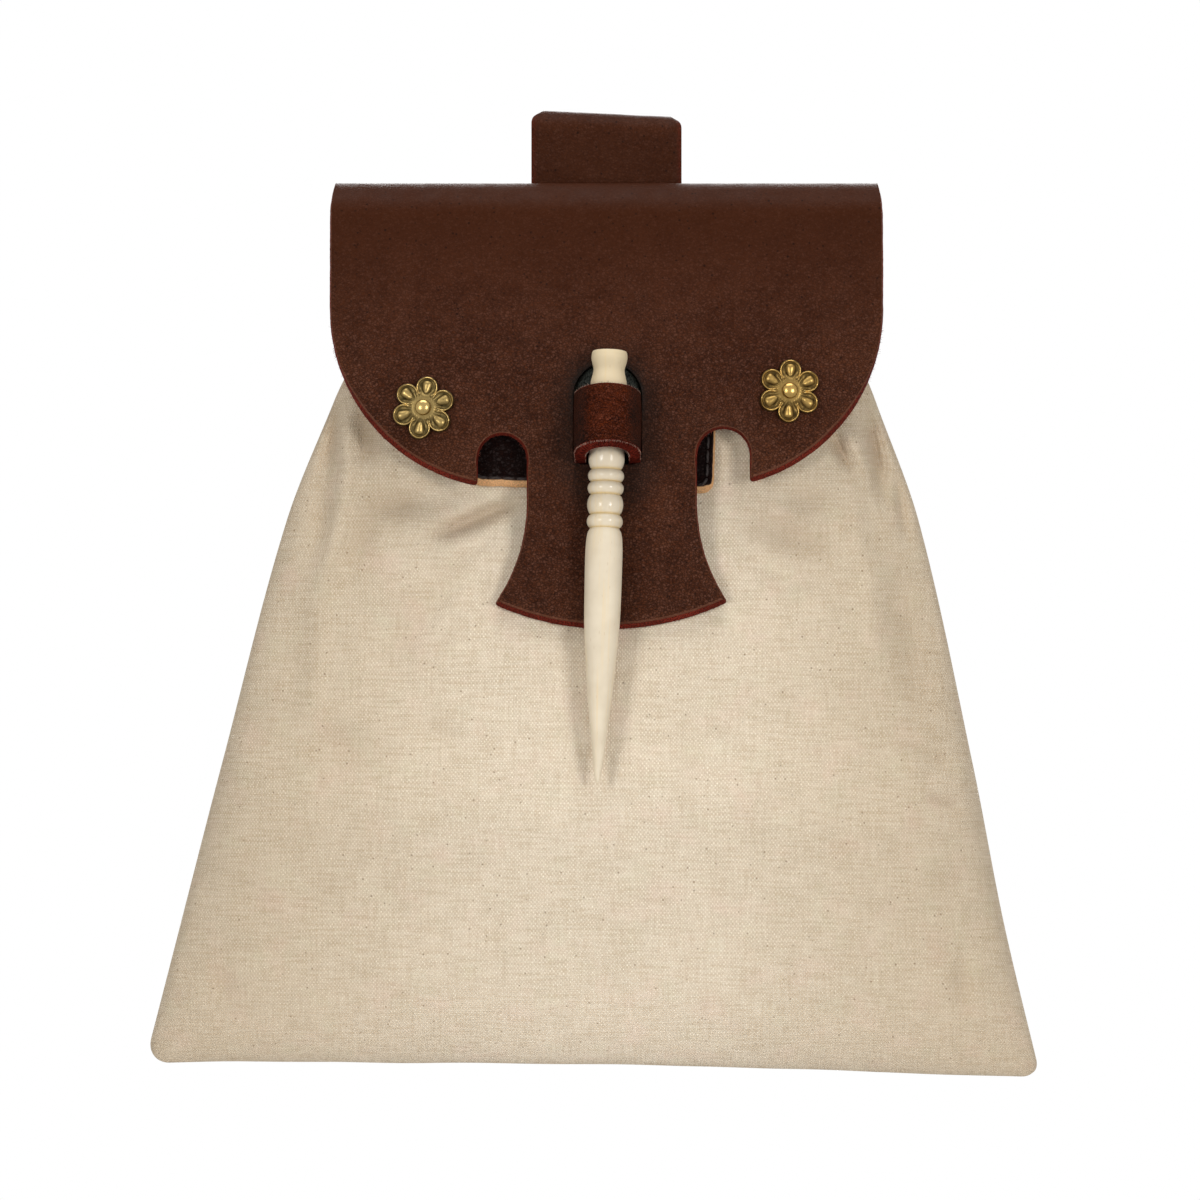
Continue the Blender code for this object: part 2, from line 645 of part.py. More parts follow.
def build_rosette(side, x, drop, turn):
    """Pressed brass flower with round petals and a raised middle."""
    place, outward = sheet_frame(x, drop)
    steps = 8
    bm = bmesh.new()
    columns = []
    for i in range(PETALS * steps):
        angle = 2 * math.pi * i / (PETALS * steps)
        local = (i % steps) / steps * (2 * math.pi / PETALS) - math.pi / PETALS
        reach = PETAL_CENTRE * math.cos(local)
        edge = reach + math.sqrt(PETAL_RADIUS ** 2 - (PETAL_CENTRE * math.sin(local)) ** 2)
        hole = SHANK_RADIUS + FIT_GAP
        rings = [(hole, ROSETTE_RISE), (RING_RADIUS, ROSETTE_RISE), (HOLLOW_RADIUS, HOLLOW_RISE)]
        rings += [(edge * RIM_SHARE, RIM_RISE), (edge, 0)]
        direction = Vector((math.sin(angle + turn), math.cos(angle + turn), 0))
        top = [bm.verts.new(direction * radius + Vector((0, 0, rise + BRASS))) for radius, rise in rings]
        low = [bm.verts.new(direction * radius + Vector((0, 0, rise))) for radius, rise in rings]
        columns.append(top + low[::-1])
    for first, second in zip(columns, columns[1:] + columns[:1]):
        for i in range(len(first)):
            bm.faces.new((first[i - 1], first[i], second[i], second[i - 1]))
    made = finish_mesh(f"{side}_rosette", bm, brass())
    set_upright(made, place + outward * FIT_GAP, outward)


def build_rivet(side, x, drop):
    """Domed rivet through the rosette and the flap, and the washer that its end is spread over."""
    place, outward = sheet_frame(x, drop)
    under_head = FIT_GAP + ROSETTE_RISE + BRASS + FIT_GAP
    washer_top = -LEATHER - FIT_GAP
    washer_low = washer_top - WASHER_THICKNESS
    tail_top = washer_low - FIT_GAP
    segments = 16
    head = [(0.0, 1.0), (0.5, 0.9), (0.8, 0.65), (1.0, 0.25), (1.0, 0.0)]
    profile = [(under_head + rise * HEAD_RISE, share * HEAD_RADIUS) for share, rise in head]
    profile += [(under_head, SHANK_RADIUS), (tail_top, SHANK_RADIUS), (tail_top, TAIL_RADIUS)]
    tail_low = tail_top - TAIL_HEIGHT
    profile += [(tail_low, SHANK_RADIUS), (tail_low, 0)]
    rivet = turned(f"{side}_rivet", profile, segments, brass())
    set_upright(rivet, place, outward)

    bm = bmesh.new()
    hole = SHANK_RADIUS + FIT_GAP
    section = [(hole, washer_low), (WASHER_RADIUS, washer_low)]
    section += [(WASHER_RADIUS, washer_top), (hole, washer_top)]
    rings = [ring_around(bm, radius, distance, segments) for radius, distance in section]
    for first, second in zip(rings, rings[1:] + rings[:1]):
        for i in range(segments):
            bm.faces.new((first[i - 1], first[i], second[i], second[i - 1]))
    washer = finish_mesh(f"{side}_rivet_washer", bm, brass())
    set_upright(washer, place, outward)


def plane_y(drop):
    """How far forward the flap's outer face is at a drop, carried on below the tongue."""
    return sheet_point(0, front_run(drop)).y


def pouch_front_line():
    """Function for the canvas front's y at the middle of the pouch."""
    straight = 1 / math.cos(FLAP_SLOPE)
    under_tongue = LEATHER + 2 * FIT_GAP
    points = [(MOUTH_DROP, plane_y(MOUTH_DROP) + (LEATHER + MOUTH_CLEARANCE) * straight)]
    for drop in (PATCH_HIGHEST, (PATCH_HIGHEST + PATCH_LOWEST) / 2, PATCH_LOWEST):
        points.append((drop, plane_y(drop) + CANVAS_INSET * straight))
    neck = (PATCH_LOWEST + BLADE_DROP) / 2
    points.append((neck, plane_y(neck) + (under_tongue + CANVAS_INSET) / 2 * straight))
    points.append((BLADE_DROP, plane_y(BLADE_DROP) + under_tongue * straight))
    rest = (BLADE_DROP + BELLY_DROP) / 2
    points.append((rest, plane_y(rest) + (under_tongue + FIT_GAP) / 2 * straight))
    points.append((BELLY_DROP, CANVAS_BACK_Y - POUCH_DEPTH))
    points.append((BOTTOM_DROP, CANVAS_BACK_Y - BOTTOM_DEPTH))
    return smooth_curve(points)


FRONT_LINE = pouch_front_line()
SIDE_LINE = smooth_curve(SIDE_SHAPE)


def pouch_half_width(drop):
    """Half the pouch's width at a drop, with its bottom corners rounded."""
    share = max(drop - SHOULDER_DROP, 0) / (BOTTOM_DROP - SHOULDER_DROP)
    half = (MOUTH_WIDTH + (BOTTOM_WIDTH - MOUTH_WIDTH) * SIDE_LINE(share)) / 2
    low = max(drop - (BOTTOM_DROP - BOTTOM_CORNER), 0)
    return half - BOTTOM_CORNER + math.sqrt(max(BOTTOM_CORNER ** 2 - low ** 2, 0))


def pouch_place(across, drop, inset):
    """Place (x, z) on the pouch, across from -1 to 1 between its side seams, an inset in from its edge."""
    height = BOTTOM_DROP - MOUTH_DROP
    level = MOUTH_DROP + (drop - MOUTH_DROP) * (height - inset) / height
    lean = max(drop - SHOULDER_DROP, 0) / (BOTTOM_DROP - SHOULDER_DROP)
    side = across * (pouch_half_width(drop) - inset)
    return side + POUCH_LEAN * lean, FLAP_TOP - level - BOTTOM_SLOPE * side * lean


def pouch_depth(drop):
    """The pouch's depth at its middle, before its bottom closes."""
    return CANVAS_BACK_Y - FRONT_LINE(drop)


def seam_y(drop):
    """How far back the seam between the two panels lies."""
    return CANVAS_BACK_Y - SEAM_SHARE * pouch_depth(drop)


def side_swell(x, drop):
    """How much further forward the pouch's front comes beside the patch, up to the rivets' ends."""
    room = CANVAS_INSET - (LEATHER + 4 * FIT_GAP + WASHER_THICKNESS + TAIL_HEIGHT)
    beside = (abs(x - PATCH_SHIFT) - PATCH_WIDTH / 2 - SWELL_START) / SWELL_RAMP
    share = min(max(beside, 0), 1)
    down = min(max((BLADE_DROP - drop) / (BLADE_DROP - PATCH_LOWEST), 0), 1)
    start = min(max((drop - MOUTH_DROP - HEM_HEIGHT) / SWELL_RAMP, 0), 1)
    return room * share * share * (3 - 2 * share) * down * start


def side_fall(x, drop):
    """How far the pouch's front falls back towards its sides, as the flap over it does."""
    fade = 1 - max(drop - PATCH_LOWEST, 0) / (BOTTOM_DROP - PATCH_LOWEST)
    return SIDE_FALL * min(drop / LOBE_RUN, 1) * fade * (x / FLAP_HALF) ** 2


def panel_point(across, drop, inset, front):
    """Point of the front or the back panel: the inset moves it inwards from the outer face."""
    share = 1 - SEAM_SHARE if front else SEAM_SHARE
    low = max(drop - (BOTTOM_DROP - CLOSE_HEIGHT), 0) / CLOSE_HEIGHT
    closing = math.sqrt(max(1 - low * low, 0))
    bulge = share * pouch_depth(drop) * closing
    bulge -= inset * min(1, bulge / FULL_BULGE)
    x, z = pouch_place(across, drop, inset)
    if front:
        bulge += (side_swell(x, drop) - side_fall(x, drop)) * closing
    bulge *= (1 - abs(across) ** SECTION_SQUARENESS) ** SECTION_FULLNESS
    direction = -1 if front else 1
    return Vector((x, seam_y(drop) + direction * (bulge + FIT_GAP / 2), z))


def pouch_rows():
    """Drops of the pouch's rows of points, with rows at the patch's edges and the belly."""
    hem_end = MOUTH_DROP + HEM_HEIGHT
    close_top = BOTTOM_DROP - CLOSE_HEIGHT
    rows = [MOUTH_DROP, hem_end, hem_end + CANVAS]
    stretches = [(PATCH_HIGHEST, 1), (PATCH_LOWEST, 4), (BLADE_DROP, 4), (BELLY_DROP, 4)]
    stretches.append((close_top, 3))
    for stop, steps in stretches:
        start = rows[-1]
        rows += [start + (stop - start) * i / steps for i in range(1, steps + 1)]
    close_steps = 6
    for i in range(1, close_steps + 1):
        rows.append(close_top + CLOSE_HEIGHT * math.sin(math.pi / 2 * i / close_steps))
    return rows


def build_canvas(name, front):
    """One panel of the pouch, a sheet from seam to seam with a thicker hem at the mouth."""
    steps = 24
    shares = [math.sin(math.pi * (i / steps - 0.5)) for i in range(steps + 1)]
    bm = bmesh.new()
    grids = []
    for inner in (False, True):
        grid = []
        for drop in pouch_rows():
            hem = 2 if drop <= MOUTH_DROP + HEM_HEIGHT else 1
            inset = hem * CANVAS if inner else 0.0
            grid.append([bm.verts.new(panel_point(t, drop, inset, front)) for t in shares])
        grids.append(grid)
    outer, inside = grids
    for grid in grids:
        for upper, lower in zip(grid, grid[1:]):
            for i in range(steps):
                bm.faces.new((upper[i], upper[i + 1], lower[i + 1], lower[i]))
    for a, b in ((outer[0], inside[0]), (outer[-1], inside[-1])):
        for i in range(steps):
            bm.faces.new((a[i], a[i + 1], b[i + 1], b[i]))
    for column in (0, -1):
        for row in range(len(outer) - 1):
            bm.faces.new((outer[row][column], outer[row + 1][column],
                          inside[row + 1][column], inside[row][column]))
    bmesh.ops.triangulate(bm, faces=bm.faces[:])
    finish_mesh(name, bm, canvas())


def build_pouch():
    """The two canvas panels and the thread of the seam between them."""
    build_canvas("canvas_front", True)
    build_canvas("canvas_back", False)
    inset = CANVAS + 2 * FIT_GAP + THREAD_RADIUS
    rows = [drop for drop in pouch_rows() if drop > MOUTH_DROP + HEM_HEIGHT + CANVAS]
    route = [(-1, drop) for drop in rows]
    bottom_steps = 16
    route += [(2 * i / bottom_steps - 1, BOTTOM_DROP) for i in range(1, bottom_steps)]
    route += [(1, drop) for drop in rows[::-1]]
    points = []
    for across, drop in route:
        x, z = pouch_place(across, drop, inset)
        points.append((x, seam_y(drop), z))
    thread("pouch_seam_thread", points, False)


def main():
    for old in list(bpy.data.objects):
        bpy.data.objects.remove(old)
    build_pouch()
    build_flap()
    build_panel_thread()
    build_belt_loop()
    build_patch()
    build_closure_loop()
    build_tab_threads()
    build_pin()
    for side, x, drop, turn in rosette_places():
        build_rosette(side, x, drop, turn)
        build_rivet(side, x, drop)


main()
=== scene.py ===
"""Looks of the belt bag: canvas pouch, leather flap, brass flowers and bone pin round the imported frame.

Units are metres, +Z is up and the front faces -Y. Heights are given as drops below the top of the
flap's fold. Shader patterns use each mesh's own flat pattern, in millimetres.
"""

import math
import random

import bmesh
import bpy
import numpy as np
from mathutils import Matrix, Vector, kdtree, noise
from mathutils.geometry import delaunay_2d_cdt


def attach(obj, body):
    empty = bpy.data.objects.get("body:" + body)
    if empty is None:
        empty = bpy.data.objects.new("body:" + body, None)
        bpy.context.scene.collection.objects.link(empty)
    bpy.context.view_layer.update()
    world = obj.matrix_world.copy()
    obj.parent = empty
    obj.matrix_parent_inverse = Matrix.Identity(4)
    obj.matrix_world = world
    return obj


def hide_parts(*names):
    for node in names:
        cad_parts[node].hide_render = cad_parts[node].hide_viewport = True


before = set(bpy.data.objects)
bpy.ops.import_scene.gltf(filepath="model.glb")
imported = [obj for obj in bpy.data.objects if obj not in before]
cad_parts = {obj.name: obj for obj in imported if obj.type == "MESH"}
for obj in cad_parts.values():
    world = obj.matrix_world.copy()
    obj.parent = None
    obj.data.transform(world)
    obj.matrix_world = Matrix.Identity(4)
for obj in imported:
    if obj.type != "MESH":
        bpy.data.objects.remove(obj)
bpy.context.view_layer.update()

MM = 0.001

# Broadest stains of leather and canvas, in features a millimetre
BROAD_STAIN = 0.03

# Materials' thicknesses and the gap that touching pieces keep
LEATHER = 2.2 * MM
LOOP_LEATHER = 3.2 * MM
TAB_LEATHER = 1.8 * MM
CANVAS = 1.0 * MM
THREAD_RADIUS = 0.4 * MM
FIT_GAP = 0.3 * MM

# Belt loop
STRAP_WIDTH = 39.3 * MM
STRAP_RISE = 18.7 * MM
BELT_OPENING = 52.0 * MM
BELT_GAP = 6.0 * MM
STRAP_BEND = 7.0 * MM
STRAP_FOOT = 12.0 * MM
STRAP_STITCH_INSET = 3.0 * MM
STRAP_CORNERS = {-1: 2.3 * MM, 1: 1.9 * MM}
STRAP_TILT = 0.045
STRAP_STEP = 0.9 * MM
STRAP_COLUMNS = 26
STRAP_END_SHRINK = 0.7 * MM
STRAP_EDGE_ROUND = 0.8 * MM
STRAP_EDGE_THINNING = 0.75
STRAP_THINNEST = 0.1 * MM
STRAP_DYED_WIDTH = 0.3 * MM
STRAP_EDGE_DYE = 0.35
STRAP_WAVES = [(12 * MM, 0.12 * MM, 6.5)]

# Back panel and flap
FLAP_WIDTH = 144.0 * MM
FOLD_RADIUS = 11.0 * MM
SIDE_FALL = 6.0 * MM
FOLD_TUCK = 1.1 * MM
PANEL_WIDTH = 128.0 * MM
PANEL_DROP = 76.0 * MM
PANEL_CORNER = 12.0 * MM
PANEL_TAPER_TOP = 12.0 * MM
PANEL_TAPER_FOOT = 26.0 * MM
PANEL_SIDE_INSET = 6.0 * MM
PANEL_FOOT_INSET = 5.0 * MM
PANEL_STITCH_TOP = 16.0 * MM
LOBE_DROP = 33.0 * MM
LOBE_RADIUS = 46.5 * MM
LEFT_NOTCH = {"outer": 33.4 * MM, "inner": 20.7 * MM, "top": 65.6 * MM}
RIGHT_NOTCH = {"outer": 37.2 * MM, "inner": 23.5 * MM, "top": 64.0 * MM}
TONGUE_NECK_DROP = 83.0 * MM
TONGUE_FLARE = 46.0 * MM
BLADE_DROP = 116.0 * MM
BLADE_RADIUS = 72.0 * MM
BLADE_SHIFT = 0.5 * MM
SLOT_TOP_DROP = 47.0 * MM
SLOT_EASE = 0.08 * MM
SLOT_CORNER = 1.5 * MM
SIDE_BEVEL = 0.5 * MM
FOOT_BEVEL = 1.1 * MM
NOTCH_BEVEL = 0.75 * MM
SLOT_BEVEL = 0.3 * MM
# Black dye and painted shade at the slot's edge, and the soft painted shadow round the slot
DYE_AND_SHADE_REACH = 2.8 * MM
DYE_AND_SHADE_RAGGEDNESS = 0.8
SHADOW_REACH = 8.0 * MM
SHADOW_SHARE = 0.5

# Suede behind the slot's round top, its waves as (size, height, seed)
SUEDE_DEPTH = 1.3 * MM
SUEDE_THICKNESS = 1.0 * MM
SUEDE_FOOT_GAP = 0.4 * MM
SUEDE_SIDE_GAP = 0.1 * MM
SUEDE_WAVES = [(1.6 * MM, 0.35 * MM, 9.5), (0.7 * MM, 0.2 * MM, 12.5)]

# Soft waves of the flap's leather as (size, height, seed)
FLAP_WAVES = [(34 * MM, 0.45 * MM, 1.5), (9 * MM, 0.12 * MM, 5.5)]

# Loose fibres along cut edges
FIBRE_RADIUS = 0.045 * MM
FIBRE_STEPS = 3
FIBRE_SIDES = 3
FLAP_FIBRES = {"count": 420, "length": 0.8 * MM}
SLOT_FIBRES = {"count": 260, "length": 0.9 * MM}
PATCH_FIBRES = {"count": 160, "length": 0.6 * MM}
LOOP_FIBRE_LENGTH = 0.7 * MM

# Stations of a stitch as (share of the pitch, height in radii, swell), and the points round it
STITCH_STATIONS = [(0.04, -0.9, 0.6), (0.1, -0.1, 0.85), (0.22, 0.5, 1.0), (0.4, 0.75, 1.06)]
STITCH_STATIONS += [(0.6, 0.75, 1.06), (0.78, 0.5, 1.0), (0.86, -0.1, 0.85), (0.92, -0.9, 0.6)]
STITCH_SEGMENTS = 10
STITCH_RADIUS = 0.36 * MM
LONG_PITCH = 3.6 * MM
STRAP_PITCH = 3.4 * MM
TAB_PITCH = 2.6 * MM

# Closure loop and patch
LOOP_HEIGHT = 17.2 * MM
LOOP_DROP = 66.4 * MM
LOOP_SHIFT = 0.25 * MM
LOOP_TILT = math.radians(15)
LOOP_EASE = 0.65 * MM
LOOP_BEVEL = 0.9 * MM
LOOP_DYED_WIDTH = 0.35 * MM
SECTION_CORNER = 0.55 * MM
LEG_TUCK = 1.8 * MM
LEG_TUCK_HEIGHT = 7.0 * MM
TAB_LENGTH = 10.0 * MM
TAB_BEND = 2.2 * MM
TAB_STITCH_INSET = 2.5 * MM
PATCH_WIDTH = 64.0 * MM
PATCH_SHIFT = -3.4 * MM
PATCH_TOP_DROP = 36.0 * MM
PATCH_BOTTOM_DROP = 79.0 * MM
PATCH_CORNER = 3.0 * MM
PATCH_TILT = math.radians(2)
PATCH_STITCH_INSET = 1.6 * MM

# Corners of the loop's cross-section, as places in its list, and the fibres that grow on each at a step
SECTION_TOP = 2
SECTION_FIBRES = {SECTION_TOP: 2, 18: 3, 26: 2}

# Bone pin
PIN_RADIUS = 4.85 * MM
PIN_LENGTH = 113.4 * MM
PIN_TOP_DROP = 44.7 * MM
PIN_SHIFT = 0.8 * MM
PIN_LEAN = math.radians(1.6)
PIN_UNEVENNESS = 0.012
PIN_SEGMENTS = 64
BEAD_RADIUS = 4.73 * MM
GROOVE_RADIUS = 3.75 * MM
BEAD_STEPS = 16
BEAD_STARTS = [25.0 * MM, 31.3 * MM, 34.5 * MM, 37.8 * MM, 43.1 * MM, 46.6 * MM]

# Flower rosettes
PETALS = 6
PETAL_RADIUS = 2.95 * MM
PETAL_CENTRE = 5.4 * MM
ROSETTE_SIDE = 24.5 * MM
LEFT_ROSETTE = {"drop": 58.9 * MM, "turn": math.radians(10)}
RIGHT_ROSETTE = {"drop": 54.5 * MM, "turn": math.radians(3)}
ROSETTE_TOP = 1.8 * MM
ROSETTE_WALL = 0.6 * MM

# Relief of a petal in mm: its rim as (share of the radius, width, height), its boss, and the veins beside
# the gap between petals as (distance in mm, width, height)
PETAL_BASE = 0.8
PETAL_RIM = (0.86, 0.1, 0.5)
BOSS_HEIGHT = 0.8
BOSS_LENGTH = 0.62
PETAL_VEINS = [(0.36, 0.15, 0.32), (1.0, 0.16, 0.16)]
MIDDLE_HEIGHT = 0.95

# Steps of the flower's mesh round a petal, and from the middle outwards
PETAL_STEPS = 40
RADIAL_STEPS = 52

# Rivets and washers
SHANK_RADIUS = 1.35 * MM
HEAD_RADIUS = 2.1 * MM
HEAD_RISE = 1.6 * MM
HEAD_SINK = 0.15 * MM
HEAD_WALL = 0.12 * MM
HEAD_LIP = 0.25 * MM
WASHER_RADIUS = 3.6 * MM
WASHER_THICKNESS = 0.8 * MM
TAIL_RADIUS = 1.95 * MM
TAIL_HEIGHT = 0.7 * MM
TAIL_EDGE = 0.15 * MM
RIVET_PLAY = 0.05 * MM
DOME_STEPS = 16
TAIL_STEPS = 8
TURNED_SEGMENTS = 48

# Canvas pouch
MOUTH_DROP = 13.0 * MM
SHOULDER_DROP = 48.0 * MM
BOTTOM_DROP = 230.0 * MM
BOTTOM_SLOPE = 0.017
BOTTOM_CURVE = 0.1
FOOT_RIPPLE = [(24 * MM, 0.35 * MM, 21.5)]
BOTTOM_CORNERS = {-1: 6.5 * MM, 1: 4.5 * MM}
POUCH_DEPTH = 41.0 * MM
BELLY_DROP = 168.0 * MM
BOTTOM_DEPTH = 26.0 * MM
CLOSE_HEIGHT = 24.0 * MM
SEAM_SHARE = 0.3
HEM_HEIGHT = 10.0 * MM
FULL_BULGE = 4.0 * MM
MOUTH_CLEARANCE = 2.4 * MM
SWELL_START = 4.0 * MM
SWELL_RAMP = 12.0 * MM
SECTION_SQUARENESS = 4
SECTION_FULLNESS = 0.5
WARP_PITCH = 0.46
WEFT_PITCH = 0.6

# How far the pouch reaches to each side as (drop, reach), in millimetres
LEFT_REACH = [(13, 66), (44, 66), (56, 70.8), (88, 83.5), (150, 100), (192, 111), (230, 121)]
RIGHT_REACH = [(13, 66), (44, 66), (56, 70), (88, 81.5), (150, 95.3), (192, 103.6), (230, 112.8)]

# Camera, floor, and the lamps as (name, place, size, watts)
CAMERA_DISTANCE = 4.0
VIEW_WIDTH = 0.312
VIEW_CENTRE = (-1.69 * MM, -99.2 * MM)
STUDIO_MIDDLE = (0, -0.03, -0.1)
WORLD_LIGHT = 0.17
FLOOR_RADIUS = 0.88
FLOOR_HEIGHT = -0.3
LAMPS = [
    ("right_softbox", (1.32, -2.1, 0.12), (0.6, 0.9), 25),
    ("left_softbox", (-1.36, -2.1, 0.12), (0.6, 0.9), 22),
    ("top_softbox", (0.0, -0.3, 1.6), (1.4, 0.9), 20),
    ("back_softbox", (0.3, 2.4, 0.8), (1.4, 1.4), 31),
]

# Places that follow from the sizes above
FLAP_HALF = FLAP_WIDTH / 2
PANEL_HALF = PANEL_WIDTH / 2
FLAP_TOP = BELT_OPENING / 2 + LEATHER - STRAP_RISE
STRAP_FRONT_Y = -BELT_GAP / 2 - LEATHER
PANEL_Y = STRAP_FRONT_Y - FIT_GAP
CANVAS_BACK_Y = PANEL_Y - LEATHER - FIT_GAP
FOLD_CENTRE = Vector((0, PANEL_Y - FOLD_RADIUS, FLAP_TOP - FOLD_RADIUS))
TAB_INSET = LEATHER + 2 * FIT_GAP + 2 * THREAD_RADIUS
PATCH_INSET = TAB_INSET + TAB_LEATHER + FIT_GAP
CANVAS_INSET = PATCH_INSET + LEATHER + 2 * FIT_GAP
PATCH_HIGHEST = PATCH_TOP_DROP - PATCH_WIDTH / 2 * math.sin(PATCH_TILT)
PATCH_LOWEST = PATCH_BOTTOM_DROP + PATCH_WIDTH / 2 * math.sin(PATCH_TILT)
LOOP_HALF = PIN_RADIUS + LOOP_EASE + LOOP_LEATHER / 2
SLOT_HALF = LOOP_HALF + LOOP_LEATHER / 2 + SLOT_EASE
PIN_STANDOFF = PIN_RADIUS + FIT_GAP
LOBE_RUN = 80.0 * MM

# Rounded cut edge of a leather plate: (share of the bevel's width, share of the thickness), front to back
RIM = [(1.0, 0.0), (0.9, -0.03), (0.78, -0.035), (0.66, 0.0), (0.54, 0.1), (0.36, 0.28), (0.16, 0.54)]
RIM += [(0.04, 0.78), (0.0, 0.9), (0.08, 0.98), (0.3, 1.0), (1.0, 1.0)]
DYED_SHARE = 0.6
# Outer limit of the raised lip beside the cut, where a highlight is painted
LIP_SHARE = 0.95
OUTLINE_STEP = 0.7 * MM

# Unevenness of the canvas as (size, height), and its puckers beside the seams
CANVAS_WAVES = [(30 * MM, 0.8 * MM), (12 * MM, 0.45 * MM), (4 * MM, 0.07 * MM)]
PUCKER_SIZE = 5.5 * MM
PUCKER_HEIGHT = 0.9 * MM
PUCKER_FADE = 14

# Ranges from none to full: of the canvas's relief, and of the tongue that presses it flat
UNEVEN_FADE = (60 * MM, 95 * MM)
FOOT_FADE = (226 * MM, 214 * MM)
SEAM_FADE = (0.0, 0.05)
TONGUE_SIDE_FADE = (33 * MM, 25 * MM)
TONGUE_FOOT_FADE = (122 * MM, 116 * MM)

# Gain on the creases' heights, the depth at which a valley is darkest, and how dark the shade painted there
# is
CREASE_GAIN = 1.9
VALLEY_DEPTH = 2.0 * MM
VALLEY_SHADE = 0.45

# Canvas mesh: rows in the curve of the bottom, the shares of the others at the mouth, at the top and foot
# of the creased part and above the curve, and how far the columns crowd towards the sides
BOTTOM_ROWS = 24
ROW_SHARES = [0, 0.15, 0.6, 1]
CREASED_TOP = 70.0 * MM
CREASED_FOOT = 130.0 * MM
SIDE_CROWDING = 0.45

# Darker strip along the canvas's foot
DARK_FOOT = 9.0 * MM
DARK_FOOT_SHARE = 0.8

# Creases of the canvas front as (x, drop) to (x, drop), width and height, all in millimetres
FRONT_CREASES = [
    ((-71.0, 56), (-73.2, 77), 2.4, -1.7),
    ((-73.2, 74), (-75.0, 98), 2.8, -0.8),
    ((-65.5, 62), (-69.8, 91), 2.8, 1.2),
    ((-69.0, 86), (-74.8, 107), 3.2, 1.3),
    ((-74.5, 102), (-76.5, 146), 3.6, 0.7),
    ((-63.6, 56), (-63.0, 74), 3.2, -2.0),
    ((-64.0, 85), (-44.0, 82.5), 4.6, -1.5),
    ((-60.5, 83), (-67.0, 102), 3.4, -1.0),
    ((-22.0, 82.5), (-46.0, 92.8), 2.3, -2.3),
    ((-25.5, 90.5), (-46.0, 98.5), 3.2, 1.5),
    ((-29.5, 97), (-53.0, 129), 3.8, 1.3),
    ((-34.0, 96), (-58.0, 127), 4.4, -0.8),
    ((-49.3, 140.5), (-37.3, 145.7), 3.2, -0.5),
    ((-80.5, 143.7), (-54.5, 151.5), 6.0, -0.7),
    ((68.4, 58), (72.8, 84), 2.3, -2.0),
    ((75.6, 72), (78.6, 94), 1.8, -1.1),
    ((57.6, 64), (64.8, 75.4), 1.8, -1.6),
    ((62.4, 62), (67.4, 76), 2.6, 0.9),
    ((33.5, 88.0), (60.0, 96.5), 4.8, -1.5),
    ((45.0, 82.0), (59.0, 84.5), 4.6, -0.9),
    ((64.0, 80), (66.5, 104), 3.0, 0.9),
    ((36.0, 97.0), (54.0, 105.5), 3.4, 1.1),
    ((68.5, 93), (69.8, 127), 3.2, 0.6),
    ((75.0, 94), (82.0, 144), 5.0, -0.9),
    ((77.0, 146.3), (92.0, 153.5), 1.8, -0.7),
    ((75.5, 150.5), (84.0, 154.0), 2.0, 0.5),
    ((82.3, 159.8), (92.5, 163.2), 1.8, -0.7),
    ((92.7, 199), (92.0, 217), 2.4, -0.7),
    ((19.0, 118), (21.7, 172), 3.0, -0.3),
    ((-27.7, 128), (-14.5, 129.6), 3.0, -0.3),
    ((-99.7, 203), (-99.0, 213), 3.0, -0.6),
]
BACK_CREASES = [
    ((-60.0, 80), (-78.0, 118), 5.0, 1.0),
    ((58.0, 84), (76.0, 125), 5.0, 1.0),
    ((-30.0, 96), (-52.0, 112), 4.0, -1.0),
    ((26.0, 98), (50.0, 110), 4.0, -1.0),
    ((-10.0, 110), (8.0, 170), 7.0, -0.8),
    ((-85.0, 150), (-40.0, 168), 6.0, 0.7),
    ((84.0, 156), (45.0, 172), 6.0, 0.7),
]


def flap_slope():
    """Angle of the flap's front from vertical, so that it lies against the pouch's belly."""
    forward = FOLD_CENTRE.y - (CANVAS_BACK_Y - POUCH_DEPTH - FIT_GAP)
    down = FOLD_CENTRE.z - (FLAP_TOP - BELLY_DROP)
    reach = math.hypot(forward, down)
    return math.acos(FOLD_RADIUS / reach) - math.atan2(down, forward)


FLAP_SLOPE = flap_slope()
BACK_TURN = -math.pi / 2 * FOLD_RADIUS
FRONT_TURN = (math.pi / 2 - FLAP_SLOPE) * FOLD_RADIUS
FRONT_DROP = FOLD_RADIUS * (1 - math.sin(FLAP_SLOPE))


def front_run(drop):
    """Distance along the sheet from the top of the fold to a drop on the front."""
    return FRONT_TURN + (drop - FRONT_DROP) / math.cos(FLAP_SLOPE)


def front_drop(run):
    """Drop on the front at a distance along the sheet."""
    return FRONT_DROP + (run - FRONT_TURN) * math.cos(FLAP_SLOPE)


def back_run(drop):
    """Distance along the sheet from the top of the fold to a drop on the back, as a negative number."""
    return BACK_TURN - (drop - FOLD_RADIUS)


def sheet_point(x, run, inset=0.0):
    """Point at an inset behind the bent sheet's outer face, x across and run along it."""
    turn = min(max(run, BACK_TURN), FRONT_TURN)
    angle = turn / FOLD_RADIUS
    outward = Vector((0, -math.sin(angle), math.cos(angle)))
    along = Vector((0, -math.cos(angle), -math.sin(angle)))
    point = FOLD_CENTRE + outward * (FOLD_RADIUS - inset) + along * (run - turn)
    fall = SIDE_FALL * min(max(run - FRONT_TURN, 0) / LOBE_RUN, 1) * (x / FLAP_HALF) ** 2
    return point + Vector((x, fall, 0))


def arc(centre, radius, start, stop, steps):
    """Points of an arc in the sheet's flat pattern, angles in degrees from +x towards +drop."""
    points = []
    for i in range(steps + 1):
        angle = math.radians(start + (stop - start) * i / steps)
        points.append((centre[0] + radius * math.cos(angle), centre[1] + radius * math.sin(angle)))
    return points


